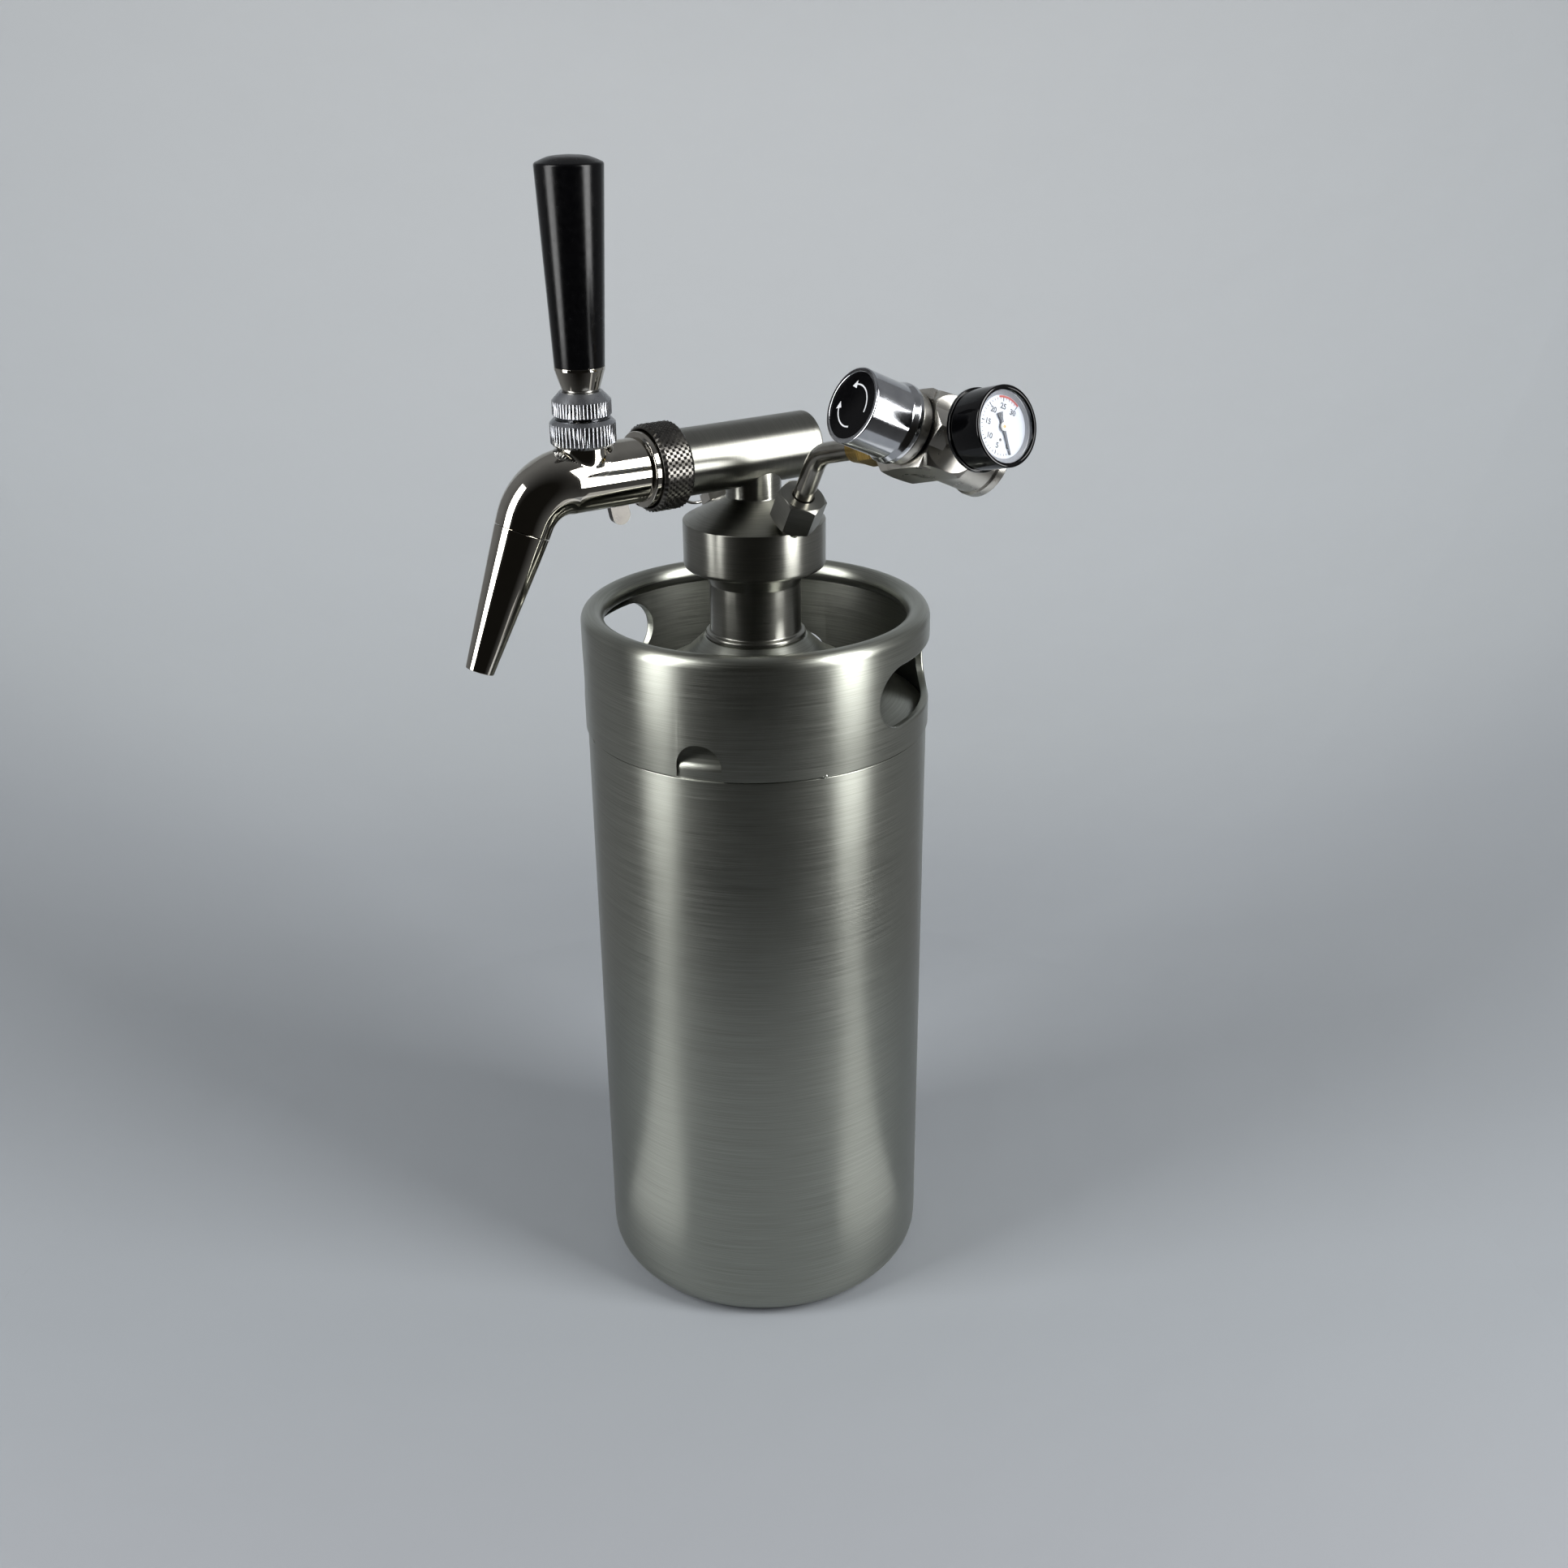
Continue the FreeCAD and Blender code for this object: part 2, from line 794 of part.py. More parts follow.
def shank_tube():
    blank = turned(
        "shank_blank",
        [
            ("shank_bore", "plug_head - shank_back"),
            ("shank_radius", "plug_head - shank_back"),
            ("shank_radius", "shank_flange_start"),
            ("shank_flange_radius", "shank_flange_start"),
            ("shank_flange_radius", "shank_front"),
            ("shank_bore", "shank_front"),
        ],
        TAP,
    )
    rise = rod("beer_hole", "dip_radius - dip_wall", "0", "shank_radius", crossing(TAP, -Y_AXIS, Vector()))
    return cut("shank_tube", blank, [rise])


def shank_plug():
    return turned(
        "shank_plug",
        [
            ("0", "-shank_back"),
            ("shank_radius", "-shank_back", "plug_head / 3"),
            ("shank_radius", "plug_head - shank_back"),
            ("shank_bore", "plug_head - shank_back"),
            ("shank_bore", "plug_head + plug_stem - shank_back"),
            ("0", "plug_head + plug_stem - shank_back"),
        ],
        TAP,
    )


def coupling_nut():
    return turned(
        "coupling_nut",
        [
            ("shank_radius + fit_clearance", "nut_back"),
            ("nut_radius - nut_chamfer", "nut_back"),
            ("nut_radius", "nut_back + nut_chamfer"),
            ("nut_radius", "nut_front - nut_chamfer"),
            ("nut_radius - nut_chamfer", "nut_front"),
            ("faucet_thread_radius + fit_clearance + nut_chamfer / 2", "nut_front"),
            ("faucet_thread_radius + fit_clearance", "nut_front - nut_chamfer"),
            ("faucet_thread_radius + fit_clearance", "shank_flange_start"),
            ("shank_radius + fit_clearance", "shank_flange_start"),
        ],
        TAP,
    )


def faucet_gasket():
    return turned(
        "faucet_gasket",
        [
            ("shank_bore", "shank_front"),
            ("shank_radius", "shank_front"),
            ("shank_radius", "shank_front + gasket_thickness"),
            ("shank_bore", "shank_front + gasket_thickness"),
        ],
        TAP,
    )


# Faucet body: a turned barrel, a bend that narrows as it turns down, and the neck of the lever,
# blended with fillets and bored through


def circle_sketch(body, label, radius, place):
    sketch = body.newObject("Sketcher::SketchObject", label)
    sketch.MapMode = "Deactivated"
    sketch.Placement = place
    sketch.addGeometry(Part.Circle(Vector(), Z_AXIS, size(radius)))
    sketch.addConstraint(Sketcher.Constraint("Coincident", 0, 3, -1, 1))
    tie = sketch.addConstraint(Sketcher.Constraint("Radius", 0, size(radius)))
    sketch.setExpression(f"Constraints[{tie}]", bound(radius))
    return sketch


def bend_place(distance):
    """A place on the bend's centre line, square to it, at one of its two ends."""
    corner = Placement(Vector(0, 0, size("bend_corner")), Rotation())
    if distance < 0:
        return corner * Placement(Vector(0, 0, distance), Rotation())
    turn = Placement(Vector(), Rotation(X_AXIS, size("bend_angle")))
    return corner * turn * Placement(Vector(0, 0, distance), Rotation())


def bend_pipe(body, kind, label, start_radius, end_radius, start):
    """A pipe along the bend's centre line, from start to the spout's joint."""
    spine = body_sketch(
        body,
        "YZ_Plane",
        label + "_spine",
        [
            ("0", start),
            ("0", "bend_corner", "bend_radius"),
            ("-joint_run * sin(bend_angle)", "bend_corner + joint_run * cos(bend_angle)"),
        ],
        closed=False,
    )
    first = circle_sketch(body, label + "_start", start_radius, bend_place(size(f"{start} - bend_corner")))
    last = circle_sketch(body, label + "_end", end_radius, bend_place(size("joint_run")))
    pipe = body.newObject(kind, label)
    pipe.Profile = first
    pipe.Spine = (spine, [])
    pipe.Transformation = "Multisection"
    pipe.Sections = [last]
    return pipe


def sink(body, label, sketch, length, backwards=False):
    """A straight pocket from a sketch."""
    pocket = body.newObject("PartDesign::Pocket", label)
    pocket.Profile = sketch
    pocket.setExpression("Length", bound(length))
    pocket.Reversed = backwards
    return pocket


def groove(body, label, points):
    """A bore turned about the body's Z axis."""
    sketch = body_sketch(body, "XZ_Plane", label + "_outline", points)
    bore = body.newObject("PartDesign::Groove", label)
    bore.Profile = sketch
    bore.ReferenceAxis = (sketch, ["V_Axis"])
    bore.Angle = 360
    return bore


def lever_place(height):
    """A place on the lever's axis, at a height above the barrel's axis, its Z axis up."""
    return Placement(Vector(0, size(height), size("handle_reach")), Rotation(Z_AXIS, Y_AXIS))


def faucet_body():
    body = doc.addObject("PartDesign::Body", "faucet_body")
    lead = "bend_corner - bend_radius * tan(bend_angle / 2) - bend_lead"
    outline = body_sketch(
        body,
        "XZ_Plane",
        "faucet_barrel_outline",
        [
            ("0", "shank_front + gasket_thickness"),
            ("faucet_thread_radius", "shank_front + gasket_thickness"),
            ("faucet_thread_radius", "faucet_thread_front"),
            ("barrel_radius", "faucet_thread_front"),
            ("barrel_radius", lead),
            ("0", lead),
        ],
    )
    barrel = body.newObject("PartDesign::Revolution", "faucet_barrel")
    barrel.Profile = outline
    barrel.ReferenceAxis = (outline, ["V_Axis"])
    barrel.Angle = 360
    bend_pipe(body, "PartDesign::AdditivePipe", "faucet_bend", "barrel_radius", "joint_radius", lead)
    neck = body.newObject("PartDesign::Pad", "lever_neck")
    neck.Profile = circle_sketch(body, "lever_neck_circle", "lever_neck_radius", lever_place("0"))
    neck.setExpression("Length", bound("lever_neck_top"))
    groove(
        body,
        "barrel_bore_cut",
        [
            ("0", "shank_front"),
            ("barrel_bore", "shank_front"),
            ("barrel_bore", "seat_reach"),
            ("0", "seat_reach"),
        ],
    )
    bend_pipe(body, "PartDesign::SubtractivePipe", "bend_bore_cut", "bend_bore", "bend_bore", lead)
    for label, radius, floor in (
        ("lever_pocket", "seat_radius + fit_clearance", "seat_floor"),
        ("lever_hole", "ball_radius + valve_clearance", "0"),
    ):
        circle = circle_sketch(body, label + "_circle", radius, lever_place("lever_neck_top"))
        sink(body, label, circle, f"lever_neck_top - ({floor})")
    spigot = circle_sketch(
        body, "spigot_circle", "spigot_radius + fit_clearance", bend_place(size("joint_run"))
    )
    sink(body, "spigot_pocket", spigot, "spigot_length + spout_seal_thickness")
    side = circle_sketch(
        body,
        "flow_shaft_circle",
        "flow_shaft_radius + fit_clearance",
        Placement(Vector(-size("barrel_radius"), 0, size("flow_place")), Rotation(Z_AXIS, -X_AXIS)),
    )
    sink(body, "flow_shaft_hole", side, "barrel_radius")
    body.Placement = TAP
    return body


def faucet_spout():
    return turned(
        "faucet_spout",
        [
            ("spout_bore", "-spigot_length"),
            ("spigot_radius", "-spigot_length"),
            ("spigot_radius", "0"),
            ("joint_radius", "0"),
            ("spout_tip_radius", "spout_length", "spout_tip_wall / 3"),
            ("spout_tip_radius - spout_tip_wall", "spout_length"),
            ("spout_tip_radius - spout_tip_wall", "spout_length - outlet_length"),
            ("spout_bore", "spout_length / 2"),
        ],
        SPOUT,
    )


def spout_seal():
    return turned(
        "spout_seal",
        [
            ("spout_bore", "-spigot_length - spout_seal_thickness"),
            ("spigot_radius", "-spigot_length - spout_seal_thickness"),
            ("spigot_radius", "-spigot_length"),
            ("spout_bore", "-spigot_length"),
        ],
        SPOUT,
    )


# Handle


def handle_bonnet():
    return turned(
        "handle_bonnet",
        [
            ("lever_neck_radius + fit_clearance", "bonnet_bottom"),
            ("bonnet_radius", "bonnet_bottom", "bonnet_chamfer"),
            ("bonnet_radius", "bonnet_top - bonnet_chamfer"),
            ("bonnet_radius - bonnet_chamfer", "bonnet_top"),
            ("throat_top", "bonnet_top"),
            ("throat_bottom", "lever_neck_top"),
            ("lever_neck_radius + fit_clearance", "lever_neck_top"),
        ],
        HANDLE,
    )


def ball_seat():
    return turned(
        "ball_seat",
        [
            ("ball_radius + valve_clearance", "seat_floor"),
            ("seat_radius", "seat_floor"),
            ("seat_radius", "seat_floor + seat_height"),
            ("ball_radius + valve_clearance", "seat_floor + seat_height"),
        ],
        HANDLE,
    )


def ball_washer():
    return turned(
        "ball_washer",
        [
            ("washer_bore", "seat_floor + seat_height"),
            ("seat_radius", "seat_floor + seat_height"),
            ("seat_radius", "lever_neck_top"),
            ("throat_bottom", "lever_neck_top"),
            ("washer_bore", "washer_bottom + washer_height"),
        ],
        HANDLE,
    )


def lever_shaft():
    ball = doc.addObject("Part::Sphere", "lever_ball")
    ball.setExpression("Radius", bound("ball_radius"))
    ball.Placement = HANDLE * Placement(Vector(0, 0, size("pivot_height")), Rotation())
    arm = turned(
        "lever_arm",
        [
            ("0", "-arm_tip"),
            ("arm_radius", "-arm_tip", "arm_radius / 2"),
            ("arm_radius", "pivot_height"),
            ("0", "pivot_height"),
        ],
        HANDLE,
    )
    stud = rod("lever_stud", "lever_radius", "pivot_height", "lever_top", HANDLE)
    return join("lever_shaft", [ball, arm, stud])


def jam_nut():
    return turned(
        "jam_nut",
        [
            ("lever_radius", "jam_bottom + jam_hollow"),
            ("jam_radius - jam_skirt", "jam_bottom + jam_hollow"),
            ("jam_radius - jam_skirt", "jam_bottom"),
            ("jam_radius", "jam_bottom"),
            ("jam_radius", "jam_shoulder"),
            ("jam_top_radius", "jam_top"),
            ("lever_radius", "jam_top"),
        ],
        HANDLE,
    )


def handle_ferrule():
    return turned(
        "handle_ferrule",
        [
            ("lever_radius", "jam_top"),
            ("ferrule_bottom_radius", "jam_top"),
            ("ferrule_top_radius", "ferrule_top"),
            ("lever_radius", "ferrule_top"),
        ],
        HANDLE,
    )


def grip_insert():
    return turned(
        "grip_insert",
        [
            ("0", "ferrule_top"),
            ("insert_radius", "ferrule_top"),
            ("insert_radius", "ferrule_top + insert_length"),
            ("0", "ferrule_top + insert_length"),
        ],
        HANDLE,
    )


def handle_grip():
    return turned(
        "handle_grip",
        [
            ("insert_radius", "ferrule_top"),
            ("grip_bottom_radius", "ferrule_top"),
            ("grip_top_radius", "grip_edge", "grip_dome / 2.5"),
            ("grip_top_radius * 0.6", "grip_edge + grip_dome * 0.8", "grip_top_radius"),
            ("0", "grip_edge + grip_dome"),
            ("0", "ferrule_top + insert_length"),
            ("insert_radius", "ferrule_top + insert_length"),
        ],
        HANDLE,
    )


# Valve inside the barrel


def shuttle():
    land = "barrel_bore - valve_clearance"
    blank = turned(
        "shuttle_blank",
        [
            ("0", "shuttle_back"),
            (land, "shuttle_back"),
            (land, "shuttle_back + guide_length"),
            ("shuttle_rod", "shuttle_back + guide_length"),
            ("shuttle_rod", "handle_reach - eye_half_length"),
            (land, "handle_reach - eye_half_length"),
            (land, "handle_reach + eye_half_length"),
            ("shuttle_rod", "handle_reach + eye_half_length"),
            ("shuttle_rod", "shuttle_head"),
            (land, "shuttle_head"),
            (land, "shuttle_head + shuttle_head_length"),
            ("0", "shuttle_head + shuttle_head_length"),
        ],
        TAP,
    )
    tools = []
    for side, low in (("top", "eye_half_height"), ("bottom", "-eye_half_height - barrel_bore")):
        tools.append(
            cuboid(
                f"shuttle_{side}_flat",
                ("-barrel_bore", low, "shuttle_back + guide_length"),
                ("barrel_bore * 2", "barrel_bore", "shuttle_head - shuttle_back - guide_length"),
                TAP,
            )
        )
    tools.append(
        cuboid(
            "shuttle_slot",
            ("-arm_radius - valve_clearance", "-barrel_bore", "handle_reach - eye_slot"),
            ("(arm_radius + valve_clearance) * 2", "barrel_bore * 2", "eye_slot * 2"),
            TAP,
        )
    )
    for number in range(4):
        turn = Placement(Vector(), Rotation(Z_AXIS, 45 + 90 * number))
        offset = Placement(Vector(size("flow_hole_place"), 0, 0), Rotation())
        tools.append(
            rod(
                f"flow_hole_{number}",
                "flow_hole",
                "shuttle_back",
                "shuttle_back + guide_length",
                TAP * turn * offset,
            )
        )
    return cut("shuttle", blank, tools)


def shuttle_seal():
    return turned(
        "shuttle_seal",
        [
            ("0", "shuttle_head + shuttle_head_length"),
            ("barrel_bore - valve_clearance", "shuttle_head + shuttle_head_length"),
            (
                "barrel_bore - valve_clearance",
                "shuttle_head + shuttle_head_length + shuttle_seal_length",
                "shuttle_seal_length / 3",
            ),
            ("0", "shuttle_head + shuttle_head_length + shuttle_seal_length"),
        ],
        TAP,
    )


SIDE = TAP * Placement(Vector(0, 0, size("flow_place")), Rotation(Z_AXIS, -X_AXIS))


def flow_lever():
    """A round hub with a flat tongue that hangs and slants back a little."""
    slant = TAP * Placement(
        Vector(0, 0, size("flow_place")), Rotation(X_AXIS, -90 + size("flow_lever_slant"))
    )
    inner = "-flow_lever_inner - flow_lever_thickness"
    outer = "flow_lever_inner + flow_lever_thickness"
    hub = rod("flow_hub", "flow_hub_radius", "flow_lever_inner", outer, SIDE)
    tongue = cuboid(
        "flow_tongue",
        (inner, "-flow_lever_width / 2", "0"),
        ("flow_lever_thickness", "flow_lever_width", "flow_lever_length"),
        slant * Placement(Vector(), Rotation(X_AXIS, 180)),
    )
    tip_place = slant * Placement(Vector(0, 0, -size("flow_lever_length")), Rotation(Z_AXIS, -X_AXIS))
    tip = rod(
        "flow_tip",
        "flow_lever_width / 2",
        "flow_lever_inner",
        "flow_lever_inner + flow_lever_thickness",
        tip_place,
    )
    hole = rod("flow_hub_hole", "flow_shaft_radius", "0", "flow_lever_inner * 2", SIDE)
    return cut("flow_lever", join("flow_lever_blank", [hub, tongue, tip]), [hole])


def eccentric_offset(angle):
    """Where the eccentric pin stands for a turn of the flow shaft, in the tap's own place."""
    turn = math.radians(angle)
    reach = size("eccentric")
    return Vector(0, -reach * math.cos(turn), reach * math.sin(turn))


def flow_shaft():
    outer = "flow_lever_inner + flow_lever_thickness"
    shaft = rod("flow_shaft_bar", "flow_shaft_radius", "flow_shaft_inner", outer, SIDE)
    pin_place = TAP * Placement(
        Vector(0, 0, size("flow_place")) + eccentric_offset(-45), Rotation(Z_AXIS, -X_AXIS)
    )
    pin = rod("flow_pin", "eccentric_radius", "eccentric_end", "flow_shaft_inner", pin_place)
    return join("flow_shaft", [shaft, pin])


def flow_compensator():
    land = "barrel_bore - valve_clearance"
    blank = turned(
        "compensator_blank",
        [
            ("0", "plug_back"),
            ("plug_tail_radius", "plug_back"),
            (land, "plug_back + plug_length - plug_land"),
            (land, "plug_back + plug_length"),
            ("0", "plug_back + plug_length"),
        ],
        TAP,
    )
    rest = Vector(0, 0, size("flow_place")) + eccentric_offset(-45)
    half = "(eccentric_radius + valve_clearance)"
    tall = "(eccentric + eccentric_radius + valve_clearance)"
    slot = cuboid(
        "compensator_slot",
        ("-barrel_bore", f"-{tall}", f"-{half}"),
        ("barrel_bore - eccentric_end + valve_clearance", f"{tall} * 2", f"{half} * 2"),
        TAP * Placement(Vector(0, 0, rest.z), Rotation()),
    )
    flats = []
    for side, low in (("top", "barrel_bore - eccentric"), ("bottom", "eccentric - barrel_bore * 2")):
        flats.append(
            cuboid(
                f"compensator_{side}_flat",
                ("-barrel_bore", low, "plug_back"),
                ("barrel_bore * 2", "barrel_bore", "plug_length"),
                TAP,
            )
        )
    return cut("flow_compensator", blank, [slot] + flats)


# Relief valve


def prv_body():
    wall = "prv_barrel - prv_wall"
    blank = turned(
        "prv_blank",
        [
            ("gallery_radius", "-stub_depth"),
            ("stub_radius", "-stub_depth"),
            ("stub_radius", "prv_shoulder"),
            ("prv_hex / 2 / cos(30)", "prv_shoulder"),
            ("prv_hex / 2 / cos(30)", "prv_shoulder + prv_hex_height"),
            ("prv_barrel", "prv_shoulder + prv_hex_height"),
            ("prv_barrel", "prv_top", "prv_wall / 2"),
            ("prv_pin_radius + valve_clearance", "prv_top"),
            ("prv_pin_radius + valve_clearance", "prv_top - prv_wall"),
            (wall, "prv_top - prv_wall"),
            (wall, "0"),
            ("gallery_radius", "0"),
        ],
        RELIEF,
    )
    six = hexagon("prv_six", "prv_hex", "-stub_depth", "prv_top", RELIEF)
    vent = crossing(RELIEF, Y_AXIS, Vector(0, 0, size("prv_top - prv_wall * 2")))
    hole = rod("prv_vent", "gallery_radius / 1.5", "-prv_hex", "prv_hex", vent)
    return cut("prv_body", overlap("prv_hex_blank", [blank, six]), [hole])


def prv_disc():
    return turned(
        "prv_disc",
        [
            ("0", "prv_gap"),
            ("prv_disc_radius", "prv_gap"),
            ("prv_disc_radius", "prv_gap + prv_disc_height"),
            ("0", "prv_gap + prv_disc_height"),
        ],
        RELIEF,
    )


def prv_pin():
    low = "prv_gap + prv_disc_height"
    stem = turned(
        "prv_stem",
        [
            ("0", low),
            ("prv_disc_radius", low),
            ("prv_disc_radius", f"{low} + prv_disc_height"),
            ("prv_pin_radius", f"{low} + prv_disc_height"),
            ("prv_pin_radius", "prv_pin_top"),
            ("0", "prv_pin_top"),
        ],
        RELIEF,
    )
    eye = doc.addObject("Part::Sphere", "prv_eye")
    eye.setExpression("Radius", bound("prv_eye_radius"))
    eye.Placement = RELIEF * Placement(Vector(0, 0, size("prv_pin_top")), Rotation())
    hole = rod(
        "prv_eye_hole",
        "prv_ring_wire + prv_eye_play",
        "-prv_eye_radius",
        "prv_eye_radius",
        crossing(RELIEF, Y_AXIS, Vector(0, 0, size("prv_pin_top"))),
    )
    return cut("prv_pin", join("prv_pin_blank", [stem, eye]), [hole])


def prv_spring():
    return coil(
        "prv_spring", "(prv_barrel - prv_wall + prv_pin_radius + valve_clearance) / 2",
        "spring_wire / 2", "spring_pitch / 2", "spring_turns",
        "prv_top - prv_wall - spring_pitch * spring_turns / 2 - spring_wire / 2", RELIEF,
    )


def prv_ring():
    eye = RELIEF.multVec(Vector(0, 0, size("prv_pin_top")))
    ring = doc.addObject("Part::Torus", "prv_ring")
    ring.setExpression("Radius1", bound("prv_ring_radius"))
    ring.setExpression("Radius2", bound("prv_ring_wire"))
    hang = Placement(eye, Rotation(Y_AXIS, size("prv_ring_tilt")))
    ring.Placement = hang * Placement(Vector(0, 0, -size("prv_ring_radius")), Rotation(Y_AXIS, 90))
    return ring


# Gas line


def gas_inlet():
    return turned(
        "gas_inlet",
        [
            ("inlet_bore", "-stub_depth"),
            ("stub_radius", "-stub_depth"),
            ("stub_radius", "inlet_shoulder"),
            ("inlet_radius", "inlet_shoulder"),
            ("inlet_radius", "inlet_top"),
            ("inlet_bore", "inlet_top"),
        ],
        GAS,
    )


def check_valve():
    return turned(
        "check_valve",
        [
            ("dip_wall", "inlet_top"),
            ("inlet_bore", "inlet_top"),
            ("inlet_bore", "inlet_top - inlet_shoulder"),
            ("inlet_bore * 0.7", "inlet_top - inlet_shoulder"),
            ("dip_wall / 2", "inlet_shoulder"),
            ("dip_wall / 4", "inlet_shoulder"),
        ],
        GAS,
    )


def chamfered_hex(label, flats, start, end, bores, place):
    """A nut: a hexagon with turned corners and the given bore outline, from its start to its end."""
    corner = f"{flats} / 2 / cos(30)"
    blank = turned(
        label + "_blank",
        [
            (bores[0], start),
            (f"{corner} - hex_chamfer * 1.5", start),
            (corner, f"{start} + hex_chamfer"),
            (corner, f"{end} - hex_chamfer"),
            (f"{corner} - hex_chamfer * 1.5", end),
            (bores[1], end),
            (bores[1], f"{end} - gas_nut_lip"),
            (bores[0], f"{end} - gas_nut_lip"),
        ],
        place,
    )
    return overlap(label, [blank, hexagon(label + "_six", flats, start, end, place)])


def gas_nut():
    return chamfered_hex(
        "gas_nut",
        "gas_nut_flats",
        "gas_nut_bottom",
        "gas_nut_top",
        ("inlet_radius + fit_clearance", "tube_radius + tube_hole_clearance"),
        GAS,
    )


def tube_collar():
    return turned(
        "tube_collar",
        [
            ("tube_radius", "inlet_top"),
            ("inlet_radius - fit_clearance", "inlet_top"),
            ("inlet_radius - fit_clearance", "gas_nut_top - gas_nut_lip"),
            ("tube_radius", "gas_nut_top - gas_nut_lip"),
        ],
        GAS,
    )


def gas_tube():
    """A tube bent once between the inlet and the regulator."""
    body = doc.addObject("PartDesign::Body", "gas_tube")
    end = "tube_run - tube_entry"
    spine = body_sketch(
        body,
        "XZ_Plane",
        "gas_tube_spine",
        [
            ("inlet_top", "0"),
            ("tube_corner", "0", "tube_bend_radius"),
            (f"tube_corner + ({end}) * cos(tube_bend)", f"-({end}) * sin(tube_bend)"),
        ],
        closed=False,
    )
    start = Placement(Vector(size("inlet_top"), 0, 0), Rotation(Z_AXIS, X_AXIS))
    rings = circle_sketch(body, "gas_tube_rings", "tube_radius", start)
    rings.addGeometry(Part.Circle(Vector(), Z_AXIS, size("tube_radius - tube_wall")))
    rings.addConstraint(Sketcher.Constraint("Coincident", 1, 3, -1, 1))
    tie = rings.addConstraint(Sketcher.Constraint("Radius", 1, size("tube_radius - tube_wall")))
    rings.setExpression(f"Constraints[{tie}]", bound("tube_radius - tube_wall"))
    pipe = body.newObject("PartDesign::AdditivePipe", "gas_tube_pipe")
    pipe.Profile = rings
    pipe.Spine = (spine, [])
    body.Placement = TUBE
    return body


def outlet_nut():
    corner = "outlet_nut_flats / 2 / cos(30)"
    blank = turned(
        "outlet_nut_blank",
        [
            ("tube_radius", "outlet_nut_back"),
            (f"{corner} - hex_chamfer", "outlet_nut_back"),
            (corner, "outlet_nut_back + hex_chamfer"),
            (corner, "outlet_nut_hex_front - hex_chamfer"),
            (f"{corner} - hex_chamfer", "outlet_nut_hex_front"),
            ("tube_radius + tube_wall", "outlet_nut_front"),
            ("tube_radius", "outlet_nut_front"),
        ],
        OUTLET,
    )
    six = hexagon("outlet_nut_six", "outlet_nut_flats", "outlet_nut_back", "outlet_nut_front", OUTLET)
    return overlap("outlet_nut", [blank, six])


def outlet_stub():
    return turned(
        "outlet_stub",
        [
            ("tube_radius - tube_wall", "bar_back - outlet_stub_depth"),
            ("outlet_stub_radius", "bar_back - outlet_stub_depth"),
            ("outlet_stub_radius", "outlet_nut_back"),
            ("tube_radius", "outlet_nut_back"),
            ("tube_radius", "tube_entry"),
            ("tube_radius - tube_wall", "tube_entry"),
        ],
        OUTLET,
    )


# Regulator


